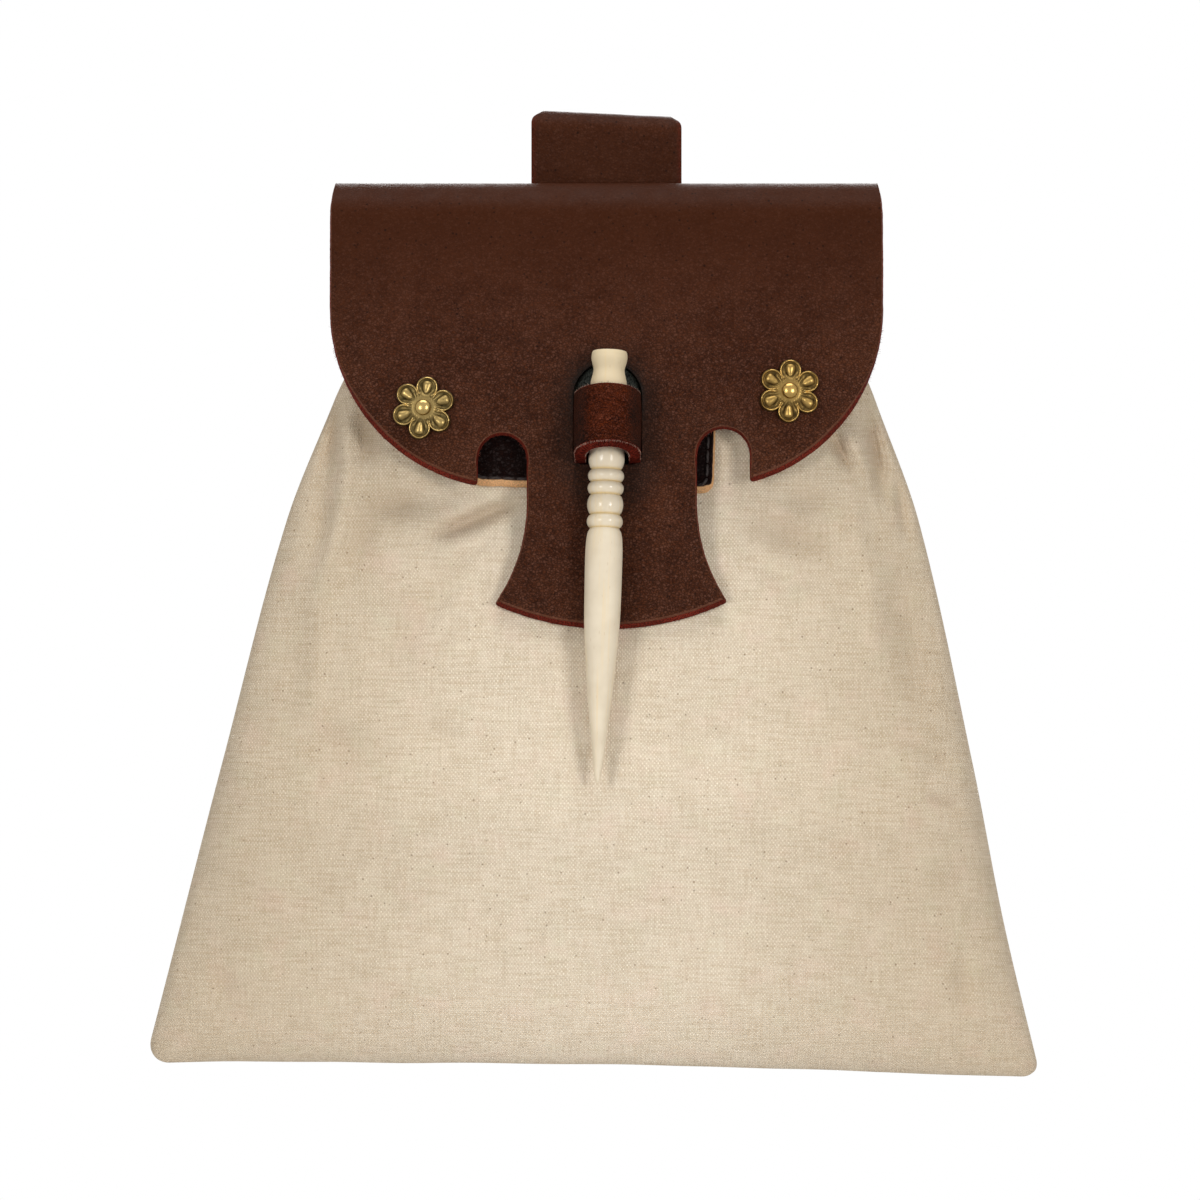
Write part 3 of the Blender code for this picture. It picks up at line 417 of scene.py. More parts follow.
def smooth_curve(points):
    """Function for a smooth curve through (position, value) points with rising positions."""
    last = len(points) - 1
    slopes = []
    for i in range(len(points)):
        before = points[max(i - 1, 0)]
        after = points[min(i + 1, last)]
        slopes.append((after[1] - before[1]) / (after[0] - before[0]))

    def value(position):
        i = 0
        while i < last - 1 and position > points[i + 1][0]:
            i += 1
        width = points[i + 1][0] - points[i][0]
        share = min(max((position - points[i][0]) / width, 0), 1)
        rise = points[i + 1][1] - points[i][1]
        bend = share * (1 - share)
        eased = share * share * (3 - 2 * share)
        tilt = (1 - share) * slopes[i] * width - share * slopes[i + 1] * width
        return points[i][1] + rise * eased + bend * tilt

    return value


def ease(value, low, high):
    """Smooth step from 0 at low to 1 at high, for numbers or arrays."""
    share = np.clip((value - low) / (high - low), 0, 1)
    return share * share * (3 - 2 * share)


def wander(x, y, size, seed):
    """Smooth random number from -1 to 1 that changes over a size."""
    return noise.noise(Vector((x / size, y / size, seed)))


def waves(x, y, parts):
    """Sum of smooth random waves, each as (size, height, seed)."""
    return sum(height * wander(x, y, size, seed) for size, height, seed in parts)


class Finish:
    """A node material, with short ways to add its nodes."""

    def __init__(self, name, **constants):
        self.made = bpy.data.materials.new(name)
        self.made.use_nodes = True
        self.tree = self.made.node_tree
        self.shader = self.tree.nodes["Principled BSDF"]
        for socket, value in constants.items():
            self.shader.inputs[socket.replace("_", " ")].default_value = value
        where = self.node("UVMap", uv_map="pattern")
        self.where = where.outputs[0]

    def put(self, socket, value):
        """Links or sets an input."""
        if isinstance(value, bpy.types.NodeSocket):
            self.tree.links.new(value, socket)
        else:
            socket.default_value = value

    def node(self, kind, inputs=None, **settings):
        """Adds a shader node with its settings and inputs."""
        made = self.tree.nodes.new("ShaderNode" + kind)
        for name, value in settings.items():
            setattr(made, name, value)
        for name, value in (inputs or {}).items():
            self.put(made.inputs[name], value)
        return made

    def calc(self, operation, *values):
        """Output of a maths node."""
        made = self.node("Math", operation=operation)
        for socket, value in zip(made.inputs, values):
            self.put(socket, value)
        return made.outputs[0]

    def mul(self, first, second):
        """Product of two values."""
        return self.calc("MULTIPLY", first, second)

    def add(self, first, second):
        """Sum of two values."""
        return self.calc("ADD", first, second)

    def stretch(self, value, low, high, to_low=0.0, to_high=1.0):
        """A value's range moved to another range, clamped."""
        inputs = {"Value": value, "From Min": low, "From Max": high, "To Min": to_low, "To Max": to_high}
        return self.node("MapRange", inputs).outputs[0]

    def mix(self, share, first, second, kind="MIX"):
        """Two colours mixed by a share."""
        made = self.node("Mix", data_type="RGBA", blend_type=kind)
        self.put(made.inputs[0], share)
        self.put(made.inputs[6], first if isinstance(first, bpy.types.NodeSocket) else (*first, 1))
        self.put(made.inputs[7], second if isinstance(second, bpy.types.NodeSocket) else (*second, 1))
        return made.outputs[2]

    def scaled(self, x, y, turn=0.0):
        """The flat pattern stretched and turned."""
        inputs = {"Vector": self.where, "Scale": (x, y, 1), "Rotation": (0, 0, turn)}
        return self.node("Mapping", inputs).outputs[0]

    def clouds(self, scale, detail=2.0, where=None):
        """Smooth random pattern, scale in features a millimetre."""
        inputs = {"Vector": where or self.where, "Scale": scale, "Detail": detail}
        return self.node("TexNoise", inputs).outputs[0]

    def blotches(self, scale, detail):
        """Broad stains with smaller ones of a scale in them."""
        broad = self.mul(self.clouds(BROAD_STAIN, 3.0), 0.5)
        return self.add(broad, self.mul(self.clouds(scale, detail), 0.5))

    def cells(self, scale, where=None, feature="F1", output="Distance"):
        """Cell pattern, scale in cells a millimetre."""
        inputs = {"Vector": where or self.where, "Scale": scale}
        return self.node("TexVoronoi", inputs, feature=feature).outputs[output]

    def warped(self, where, amount, scale):
        """A pattern's places pushed about, so that its cells lose their straight sides."""
        push = self.node("TexNoise", {"Vector": where, "Scale": scale, "Detail": 2.0}).outputs["Color"]
        steps = [("SUBTRACT", (0.5, 0.5, 0.5)), ("MULTIPLY", (amount, amount, 0)), ("ADD", where)]
        for operation, other in steps:
            push = self.node("VectorMath", {0: push, 1: other}, operation=operation).outputs[0]
        return push

    def mark(self, name):
        """A number stored on the mesh's points."""
        return self.node("Attribute", attribute_name=name).outputs["Fac"]

    def bump(self, height, distance, strength=1.0):
        """Bump from a height of 0 to 1, the distance in metres."""
        inputs = {"Height": height, "Distance": distance, "Strength": strength}
        return self.node("Bump", inputs).outputs[0]

    def finish(self, colour, rough, normal):
        """Links the shader and returns the material."""
        self.put(self.shader.inputs["Base Color"], colour)
        self.put(self.shader.inputs["Roughness"], rough)
        self.put(self.shader.inputs["Normal"], normal)
        return self.made


def shade(colour, factor, lift=0.0):
    """A colour made darker or lighter."""
    return [c * factor + lift for c in colour]


def leather_finish(name, deep, light, grain, edge, dull, gloss):
    """Pebbled leather with blotches and specks, painted glints on its pebbles, painted shade at the top and
    round the slot, and its dyed cut edge dull in parts.
    """
    f = Finish(name, Specular_IOR_Level=gloss)
    rim = f.mark("edge")
    smooth_and_painted_shade = f.mark("smooth_and_painted_shade")
    lively = f.calc("SUBTRACT", 1.0, f.mul(smooth_and_painted_shade, 0.8))

    # Broad and fine unevenness of the dye, then painted shade that darkens the top of the flap and the belt
    # loop
    fine = f.clouds(grain, 3.0)
    broad = f.stretch(f.blotches(0.16, 4.0), 0.42, 0.58)
    share = f.add(f.mul(broad, 0.5), f.mul(f.stretch(fine, 0.4, 0.6), 0.5))
    colour = f.mix(share, deep, light)
    colour = f.mix(f.mul(smooth_and_painted_shade, 0.85), colour, deep)

    # Pebbles, lighter by a random tone and a painted glint on their crests, and the dark creases between them
    shape = f.warped(f.scaled(grain, grain * 1.3, 0.12), 1.1, 1.1)
    crease = f.stretch(f.cells(1.0, shape, "DISTANCE_TO_EDGE"), 0.0, 0.2, 1.0, 0.0)
    tone = f.node("SeparateColor", {"Color": f.cells(1.0, shape, output="Color")}).outputs[0]
    crest_tone_and_glint = f.mul(f.stretch(tone, 0.3, 1.0, 0.0, 0.5), f.calc("SUBTRACT", 1.0, crease))
    colour = f.mix(f.mul(crest_tone_and_glint, lively), colour, shade(light, 1.1, 0.022))
    colour = f.mix(f.mul(f.mul(crease, 0.75), lively), colour, shade(deep, 0.3))

    # Dark specks in some places
    chosen = f.stretch(f.clouds(0.5, 2.0), 0.48, 0.6)
    specks = f.mul(f.stretch(f.cells(grain * 0.5), 0.26, 0.12), chosen)
    colour = f.mix(f.mul(specks, 0.7), colour, shade(deep, 0.15))

    # Painted highlight on the lip beside the cut, black dye and painted shade round the slot and on the
    # closure loop's sides, and the cut edge's own dye
    colour = f.mix(f.mul(f.mark("lip"), 0.4), colour, shade(light, 1.8, 0.02))
    colour = f.mix(f.mul(f.mark("dye_and_painted_shade"), 0.9), colour, (0.008, 0.008, 0.007))
    threads = f.stretch(f.clouds(2.6, 3.0, f.scaled(1.0, 0.5, 0.6)), 0.42, 0.6)
    worn = f.mul(threads, f.stretch(f.clouds(0.12, 2.0), 0.4, 0.6, 0.45, 1.0))
    colour = f.mix(rim, colour, f.mix(worn, shade(edge, dull), edge))

    rough = f.add(f.stretch(f.clouds(0.2, 3.0), 0.3, 0.7, 0.4, 0.55), f.mul(rim, 0.25))
    height = f.mul(f.calc("SUBTRACT", fine, f.mul(crease, 0.5)), lively)
    return f.finish(colour, rough, f.bump(height, 0.2 * MM, 1.0))


def canvas_finish():
    """Plain-weave canvas: rows of bright floats set brick-wise, slubs, flecks and faint stains, with shade
    painted into its creases and towards its sides.
    """
    f = Finish("canvas_weave", Specular_IOR_Level=0.1, Sheen_Weight=0.06, Sheen_Roughness=0.5)

    # Floats of the warp, and lower ones of the weft between them
    where = f.warped(f.warped(f.where, 1.6, 0.1), 0.22, 1.2)
    split = f.node("SeparateXYZ", {"Vector": where})
    across = f.calc("SINE", f.mul(split.outputs[0], math.pi / WARP_PITCH))
    along = f.calc("SINE", f.mul(split.outputs[1], math.pi / WEFT_PITCH))
    product = f.mul(across, along)
    seed = f.calc("POWER", f.calc("MAXIMUM", product, 0.0), 1.2)
    low = f.calc("POWER", f.calc("MAXIMUM", f.mul(product, -1.0), 0.0), 1.2)
    weave = f.add(seed, f.mul(low, 0.4))

    upright = f.clouds(1.0, 2.0, f.scaled(1.4, 0.12))
    level = f.clouds(1.0, 2.0, f.scaled(0.12, 1.4))
    slubs = f.add(f.mul(upright, 0.7), level)
    uneven = f.stretch(f.clouds(1.0, 3.0), 0.33, 0.67, 0.2, 1.0)
    pink = f.clouds(0.09, 2.0, f.scaled(1, 1, 0.5))
    green = f.clouds(0.11, 2.0, f.scaled(1, 1, 2.1))
    flecks = f.mul(f.stretch(f.cells(0.45), 0.16, 0.08), f.stretch(f.clouds(0.3, 1.0), 0.5, 0.56))
    tints = [
        (f.mul(f.stretch(seed, 0.0, 0.5), uneven), (0.99, 0.895, 0.735)),
        (f.stretch(slubs, 0.64, 1.06, 0.0, 0.32), (0.97, 0.88, 0.73)),
        (f.stretch(slubs, 0.81, 0.6, 0.0, 0.26), (0.62, 0.49, 0.34)),
        (f.stretch(pink, 0.55, 0.75, 0.0, 0.14), (0.93, 0.62, 0.54)),
        (f.stretch(green, 0.55, 0.75, 0.0, 0.12), (0.78, 0.80, 0.57)),
        (f.mul(flecks, 0.7), (0.28, 0.19, 0.115)),
        # Painted shade in the creases' valleys
        (f.mark("fold"), (0.44, 0.32, 0.21)),
    ]
    stains = f.stretch(f.blotches(0.14, 3.0), 0.38, 0.62)
    colour = f.mix(stains, (0.595, 0.477, 0.337), (0.665, 0.537, 0.392))
    for share, tint in tints:
        colour = f.mix(share, colour, tint)
    # Darker foot strip, and painted shade towards the sides
    colour = f.mix(f.mark("painted_side_shade_and_dark_foot"), colour, (0.83, 0.80, 0.755), "MULTIPLY")
    height = f.add(weave, f.mul(f.clouds(3.0, 2.0), 0.5))
    return f.finish(colour, 0.92, f.bump(height, 0.17 * MM, 1.0))


def brass_finish(name, bright, dull):
    """Aged brass, dark and green in its hollows with patina and painted shade, and polished on its high
    places.
    """
    f = Finish(name, Metallic=1.0)
    # Polish on raised places; low values also paint shade into the hollows
    high = f.mark("high")
    stain = f.clouds(0.5, 4.0)
    share = f.stretch(f.add(high, f.mul(stain, 0.6)), 0.2, 1.15)
    colour = f.mix(share, dull, bright)
    spots = f.stretch(f.clouds(1.6, 3.0), 0.6, 0.72, 0.0, 0.5)
    colour = f.mix(spots, colour, (0.06, 0.045, 0.02))
    rough = f.stretch(f.calc("SUBTRACT", share, f.mul(spots, 0.4)), 0.0, 1.0, 0.5, 0.26)
    return f.finish(colour, rough, f.bump(f.clouds(2.4, 3.0), 0.05 * MM, 0.5))


def bone_finish():
    """Polished bone: cream, with faint streaks along it and yellow in its grooves."""
    f = Finish("polished_bone", Specular_IOR_Level=0.3)
    streaks = f.clouds(1.0, 4.0, f.scaled(1.1, 0.035))
    patches = f.clouds(0.12, 3.0)
    colour = f.mix(f.stretch(patches, 0.35, 0.65), (0.68, 0.58, 0.43), (0.75, 0.65, 0.495))
    colour = f.mix(f.stretch(streaks, 0.52, 0.72, 0.0, 0.5), colour, (0.77, 0.59, 0.325))
    colour = f.mix(f.mul(f.mark("low"), 0.75), colour, (0.66, 0.49, 0.22))
    pores = f.stretch(f.cells(0.9, f.scaled(1.0, 0.25)), 0.14, 0.06, 0.0, 0.35)
    colour = f.mix(pores, colour, (0.52, 0.36, 0.18))
    rough = f.stretch(f.clouds(0.3, 3.0), 0.3, 0.7, 0.5, 0.62)
    rough = f.calc("SUBTRACT", rough, f.mul(f.mark("bead"), 0.4))
    return f.finish(colour, rough, f.bump(streaks, 0.05 * MM, 0.35))


def thread_finish():
    """Waxed sewing thread, its twist shown as slanting ridges."""
    f = Finish("waxed_thread", Specular_IOR_Level=0.3)
    twist = f.calc("SINE", f.node("SeparateXYZ", {"Vector": f.scaled(9, 9, 0.7)}).outputs[0])
    share = f.stretch(twist, -1.0, 1.0, 0.0, 0.7)
    colour = f.mix(share, (0.015, 0.010, 0.009), (0.045, 0.031, 0.026))
    return f.finish(colour, 0.6, f.bump(twist, 0.08 * MM, 0.6))


def add_object(name, data):
    """New object in the scene."""
    made = bpy.data.objects.new(name, data)
    bpy.context.collection.objects.link(made)
    return made


def build_piece(name, points, faces, finish, pattern, marks=None, body="bag", sharp=50):
    """Mesh object on a body, its faces turned outwards, with a flat pattern in millimetres."""
    mesh = bpy.data.meshes.new(name)
    mesh.from_pydata([tuple(p) for p in points], [], faces)
    corners = np.empty(len(mesh.loops), dtype=np.int32)
    mesh.loops.foreach_get("vertex_index", corners)
    flat = np.asarray(pattern, dtype=np.float32)[corners] / MM
    layer = mesh.uv_layers.new(name="pattern")
    layer.data.foreach_set("uv", flat.ravel())
    for key, values in (marks or {}).items():
        attribute = mesh.attributes.new(key, "FLOAT", "POINT")
        attribute.data.foreach_set("value", np.asarray(values, dtype=np.float32))
    bm = bmesh.new()
    bm.from_mesh(mesh)
    bmesh.ops.recalc_face_normals(bm, faces=bm.faces[:])
    bm.to_mesh(mesh)
    bm.free()
    mesh.shade_smooth()
    mesh.set_sharp_from_angle(angle=math.radians(sharp))
    mesh.materials.append(finish)
    made = add_object(name, mesh)
    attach(made, body)
    return made


def add_mark(made, name, value_at):
    """Stores a number on each point of a finished mesh, worked out from its place."""
    attribute = made.data.attributes.new(name, "FLOAT", "POINT")
    for point, stored in zip(made.data.vertices, attribute.data):
        stored.value = value_at(point.co)


def even_steps(points, spacing, closed=True):
    """Points at even steps along a line, as an array."""
    line = np.array(points, dtype=float)
    if closed:
        line = np.vstack([line, line[:1]])
    lengths = np.linalg.norm(np.diff(line, axis=0), axis=1)
    reach = np.concatenate([[0], np.cumsum(lengths)])
    count = max(3, round(reach[-1] / spacing))
    at = np.linspace(0, reach[-1], count + 1)
    if closed:
        at = at[:-1]
    return np.stack([np.interp(at, reach, line[:, i]) for i in range(line.shape[1])], axis=1)


def soften(loop, passes):
    """Closed outline with its corners worn round."""
    for _ in range(passes):
        loop = (np.roll(loop, 1, axis=0) + 2 * loop + np.roll(loop, -1, axis=0)) / 4
    return loop


def out_of(loop, hole):
    """Directions out of the leather at each point of an outline, or of a hole's outline."""
    along = np.roll(loop, -1, axis=0) - np.roll(loop, 1, axis=0)
    normal = np.stack([along[:, 1], -along[:, 0]], axis=1)
    normal /= np.linalg.norm(normal, axis=1, keepdims=True)
    ahead = np.roll(loop, -1, axis=0)
    area = np.sum(loop[:, 0] * ahead[:, 1] - ahead[:, 0] * loop[:, 1])
    return normal * (1 if (area > 0) != hole else -1)


def is_inside(points, loops):
    """Which points lie inside the outline and outside its holes."""
    crossings = np.zeros(len(points), dtype=int)
    for loop in loops:
        ahead = np.roll(loop, -1, axis=0)
        for a, b in zip(loop, ahead):
            level = (a[1] > points[:, 1]) != (b[1] > points[:, 1])
            if level.any():
                cross = a[0] + (points[:, 1] - a[1]) / (b[1] - a[1] + 1e-15) * (b[0] - a[0])
                crossings += level & (points[:, 0] < cross)
    return crossings % 2 == 1


def fill_points(loops, spacing):
    """Grid of points inside the outlines, kept off their edges."""
    low = loops[0].min(axis=0)
    high = loops[0].max(axis=0)
    rows = np.arange(low[1], high[1], spacing[1])
    grid = []
    for i, level in enumerate(rows):
        shift = spacing[0] / 2 * (i % 2)
        for across in np.arange(low[0] + shift, high[0], spacing[0]):
            grid.append((across, level))
    grid = np.array(grid)
    grid = grid[is_inside(grid, loops)]
    rim = np.vstack(loops)
    tree = kdtree.KDTree(len(rim))
    for i, (x, y) in enumerate(rim):
        tree.insert((x, y, 0), i)
    tree.balance()
    clear = 0.55 * min(spacing)
    return [p for p in grid if tree.find((p[0], p[1], 0))[2] > clear]


def leather_plate(name, outlines, place, thickness, bevel, finish, spacing, passes=3, ragged=0.0):
    """Leather plate with rounded cut edges, from its outline and holes in the flat pattern."""
    loops = []
    normals = []
    widths = []
    for i, outline in enumerate(outlines):
        loop = soften(even_steps(outline, OUTLINE_STEP), passes)
        normal = out_of(loop, i > 0)
        if ragged:
            shift = [ragged * (wander(x, y, 1.1 * MM, 7.0) + wander(x, y, 3.5 * MM, 3.0)) for x, y in loop]
            loop = loop + normal * np.array(shift)[:, None]
        loops.append(loop)
        normals.append(normal)
        widths.append(np.array([bevel(p, n) for p, n in zip(loop, normal)]))
    inner = [loop - normal * width[:, None] for loop, normal, width in zip(loops, normals, widths)]
    flat = [Vector(p) for loop in inner for p in loop]
    edges = []
    starts = []
    for loop in inner:
        start = sum(len(other) for other in inner[:len(starts)])
        starts.append(start)
        edges += [(start + i, start + (i + 1) % len(loop)) for i in range(len(loop))]
    flat += [Vector(p) for p in fill_points(inner, spacing)]
    corners, _, triangles, sources, _, _ = delaunay_2d_cdt(flat, edges, [], 1, 1e-7)
    middles = np.array([sum((corners[i] for i in t), Vector((0, 0))) / 3 for t in triangles])
    triangles = [t for t, kept in zip(triangles, is_inside(middles, inner)) if kept]
    index_of = {}
    for i, source in enumerate(sources):
        for original in source:
            index_of[original] = i
    points = [place(p[0], p[1], 0.0) for p in corners]
    points += [place(p[0], p[1], thickness) for p in corners]
    pattern = [tuple(p) for p in corners] * 2
    edge_mark = [0.0] * (2 * len(corners))
    painted_lip_highlight = [0.0] * (2 * len(corners))
    count = len(corners)
    faces = [tuple(t) for t in triangles]
    faces += [tuple(count + i for i in reversed(t)) for t in triangles]
    for loop, normal, width, start in zip(loops, normals, widths, starts):
        size = len(loop)
        dye = 1.0 if start == 0 else 0.0
        rings = [[index_of[start + i] for i in range(size)]]
        for share, depth in RIM[1:-1]:
            ring = []
            for p, n, w in zip(loop, normal, width):
                at = p - n * w * share
                ring.append(len(points))
                points.append(place(at[0], at[1], depth * thickness))
                pattern.append(tuple(at + n * depth * thickness))
                edge_mark.append(dye if share < DYED_SHARE else 0.0)
                # Painted highlight on the raised lip
                painted_lip_highlight.append(dye if DYED_SHARE < share < LIP_SHARE and depth < 0.5 else 0.0)
            rings.append(ring)
        rings.append([count + index_of[start + i] for i in range(size)])
        for first, second in zip(rings, rings[1:]):
            faces += [(first[i - 1], first[i], second[i], second[i - 1]) for i in range(size)]
    return build_piece(name, points, faces, finish, pattern, {"edge": edge_mark, "lip": painted_lip_highlight})


def swept(rings, cyclic=False):
    """Points and faces of a skin over rings of equal size, closed at both ends."""
    size = len(rings[0])
    points = [p for ring in rings for p in ring]
    faces = []
    pairs = len(rings) if cyclic else len(rings) - 1
    for row in range(pairs):
        first = row * size
        second = (row + 1) % len(rings) * size
        for i in range(size):
            j = (i + 1) % size
            faces.append((first + i, first + j, second + j, second + i))
    if not cyclic:
        for ring, start in ((rings[0], 0), (rings[-1], (len(rings) - 1) * size)):
            points.append(sum((Vector(p) for p in ring), Vector()) / size)
            middle = len(points) - 1
            faces += [(start + i, start + (i + 1) % size, middle) for i in range(size)]
    return points, faces


def tongue_corner(inner, side):
    """Where the tongue's flared side meets the blade's arc, as the flare's angle in degrees."""
    blade_centre = BLADE_DROP - BLADE_RADIUS
    angle = 0.0
    while True:
        x = inner + TONGUE_FLARE * (1 - math.cos(math.radians(angle)))
        drop = TONGUE_NECK_DROP + TONGUE_FLARE * math.sin(math.radians(angle))
        blade = blade_centre + math.sqrt(BLADE_RADIUS ** 2 - (side * x - BLADE_SHIFT) ** 2)
        if drop >= blade:
            return angle
        angle += 0.25


def flap_side(notch, side):
    """Half of the flap's outline in (x, drop), from the fold to the middle of the blade."""
    lobe_x = FLAP_HALF - LOBE_RADIUS
    lobe_end = math.degrees(math.acos((notch["outer"] - lobe_x) / LOBE_RADIUS))
    points = arc((lobe_x, LOBE_DROP), LOBE_RADIUS, 0, lobe_end, 40)
    radius = (notch["outer"] - notch["inner"]) / 2
    crown = (notch["inner"] + radius, notch["top"] + radius)
    points += [(x, 2 * crown[1] - drop) for x, drop in arc(crown, radius, 0, 180, 24)]
    corner = tongue_corner(notch["inner"], side)
    points += arc((notch["inner"] + TONGUE_FLARE, TONGUE_NECK_DROP), TONGUE_FLARE, 180, 180 - corner, 20)
    corner_x = points[-1][0]
    steps = 24
    for i in range(1, steps):
        x = corner_x * (1 - i / steps)
        drop = BLADE_DROP - BLADE_RADIUS + math.sqrt(BLADE_RADIUS ** 2 - (side * x - BLADE_SHIFT) ** 2)
        points.append((x, drop))
    return [(side * x, drop) for x, drop in points]


def slot_outline():
    """Slot in (x, drop): a round top over the pin's head, and a square foot under the loop's legs."""
    top = arc((LOOP_SHIFT, SLOT_TOP_DROP + SLOT_HALF), SLOT_HALF, 180, 360, 30)
    foot = LOOP_DROP + LOOP_HEIGHT / 2 - LEG_TUCK + SLOT_EASE - SLOT_CORNER
    right = LOOP_SHIFT + SLOT_HALF - SLOT_CORNER
    left = LOOP_SHIFT - SLOT_HALF + SLOT_CORNER
    corners = arc((right, foot), SLOT_CORNER, 0, 90, 5)
    corners += arc((left, foot), SLOT_CORNER, 90, 180, 5)
    return top + corners


def rosette_places():
    """Each rosette's side, its place on the flap as (x, drop), and how far it is turned clockwise."""
    side = FLAP_HALF - ROSETTE_SIDE
    return [("left", -side, LEFT_ROSETTE["drop"], LEFT_ROSETTE["turn"]),
            ("right", side, RIGHT_ROSETTE["drop"], RIGHT_ROSETTE["turn"])]


def flap_wave(x, run):
    """How far the flap's leather stands out in soft waves, none under the pin."""
    beside = ease(abs(x), 14 * MM, 30 * MM)
    off_fold = ease(abs(run), 6 * MM, 30 * MM)
    return waves(x, run, FLAP_WAVES) * beside * off_fold


def flap_place(x, run, depth):
    """Point of the flap's leather at a depth behind its outer face."""
    tuck = 1 - FOLD_TUCK / FLAP_HALF * math.exp(-(run / (8 * MM)) ** 2)
    return sheet_point(x * tuck, run, depth - flap_wave(x, run))


def flap_bevel(point, normal):
    """Width of the flap's bevelled edge: wide along the lobes' and tongue's feet, narrow elsewhere."""
    x, run = point
    drop = front_drop(run) if run > 0 else 0.0
    if 19 * MM < abs(x) < 38.5 * MM and 60 * MM < drop < 74 * MM:
        return NOTCH_BEVEL
    if abs(x) < 12 * MM and drop < 90 * MM:
        return SLOT_BEVEL
    return SIDE_BEVEL + FOOT_BEVEL * ease(normal[1], 0.15, 0.75) * ease(drop, 40 * MM, 60 * MM)


def slot_dye_and_shadow(place):
    """How dark the flap is at a place: black dye and painted shade at the slot's edge, and a painted shadow
    round it.
    """
    if place.y > FOLD_CENTRE.y:
        return 0.0
    drop = FLAP_TOP - place.z
    level = min(max(drop, SLOT_TOP_DROP + SLOT_HALF), LOOP_DROP + LOOP_HEIGHT / 2 - LEG_TUCK)
    away = math.hypot(place.x - LOOP_SHIFT, drop - level) - SLOT_HALF
    ragged = 1 + DYE_AND_SHADE_RAGGEDNESS * wander(place.x, drop, 1.7 * MM, 15.5)
    beside_head = 0.55 + 0.45 * float(ease(drop, LOOP_DROP - 2 * MM, LOOP_DROP - LOOP_HEIGHT / 2))
    # Painted shadow: a soft dark halo round the slot and the loop
    stain = SHADOW_SHARE * float(ease(away, SHADOW_REACH, 0.0))
    return max(beside_head * float(ease(away, DYE_AND_SHADE_REACH * ragged, -0.2 * MM)), stain)


def build_flap(finish, fibres, black_fibres):
    """Back panel, fold and flap in one sheet of leather."""
    right = flap_side(RIGHT_NOTCH, 1)
    left = flap_side(LEFT_NOTCH, -1)
    front = right + left[::-1]
    outline = [(x, front_run(drop)) for x, drop in front]
    corner_x = PANEL_HALF - PANEL_CORNER
    corner_drop = PANEL_DROP - PANEL_CORNER
    back = [(-FLAP_HALF, PANEL_TAPER_TOP), (-PANEL_HALF, PANEL_TAPER_FOOT)]
    back += arc((-corner_x, corner_drop), PANEL_CORNER, 180, 90, 12)
    back += arc((corner_x, corner_drop), PANEL_CORNER, 90, 0, 12)
    back += [(PANEL_HALF, PANEL_TAPER_FOOT), (FLAP_HALF, PANEL_TAPER_TOP)]
    outline += [(x, back_run(drop)) for x, drop in back]
    holes = [[(x, front_run(drop)) for x, drop in slot_outline()]]
    spacing = (1.5 * MM, 1.3 * MM)
    made = leather_plate("flap_leather", [outline] + holes, flap_place, LEATHER, flap_bevel, finish, spacing,
                         ragged=0.06 * MM)
    # Smoother grain, and painted shade darkening the flap towards its top
    add_mark(made, "smooth_and_painted_shade", lambda place: float(ease(place.z, FLAP_TOP - 60 * MM, FLAP_TOP - 8 * MM)))
    add_mark(made, "dye_and_painted_shade", slot_dye_and_shadow)
    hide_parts("leather_back_and_flap")
    lobes_top = front_run(LOBE_DROP)
    roots = edge_roots(outline, flap_place, FLAP_FIBRES["count"],
                       lambda p, n: p[1] > lobes_top and n[1] > 0.1)
    build_fibres("flap_edge_fibres", roots, fibres, FLAP_FIBRES["length"])
    loop_top = front_run(LOOP_DROP - LOOP_HEIGHT / 2 + MM)
    roots = edge_roots(holes[0], flap_place, SLOT_FIBRES["count"], lambda p, n: p[1] < loop_top, hole=True)
    build_fibres("slot_edge_fibres", roots, black_fibres, SLOT_FIBRES["length"])


def rounded_rectangle(x, drop, width, height, radius):
    """Outline of a rectangle with round corners in (x, drop), about its centre."""
    points = []
    for sx, sy, start in ((1, 1, 0), (-1, 1, 90), (-1, -1, 180), (1, -1, 270)):
        centre = (x + sx * (width / 2 - radius), drop + sy * (height / 2 - radius))
        points += arc(centre, radius, start, start + 90, 8)
    return points


def patch_outline(inset):
    """Outline of the patch in (x, run), drawn in by an inset."""
    drop = (PATCH_TOP_DROP + PATCH_BOTTOM_DROP) / 2
    width = PATCH_WIDTH - 2 * inset
    height = PATCH_BOTTOM_DROP - PATCH_TOP_DROP - 2 * inset
    corner = PATCH_CORNER - inset / 2
    outline = []
    for x, down in rounded_rectangle(0, 0, width, height, corner):
        across = x * math.cos(PATCH_TILT) - down * math.sin(PATCH_TILT)
        along = x * math.sin(PATCH_TILT) + down * math.cos(PATCH_TILT)
        outline.append((PATCH_SHIFT + across, front_run(drop + along)))
    return outline


def circle(centre, side, top, radius, count):
    """Ring of points round a centre, from its side direction towards its top direction."""
    angles = [2 * math.pi * i / count for i in range(count)]
    return [centre + (side * math.cos(angle) + top * math.sin(angle)) * radius for angle in angles]


def add_tube(rings, points, faces):
    """Adds the skin over some rings to a growing mesh, and returns how many points it has."""
    made, skin = swept(rings)
    base = len(points)
    points += made
    faces += [tuple(base + v for v in face) for face in skin]
    return len(made)


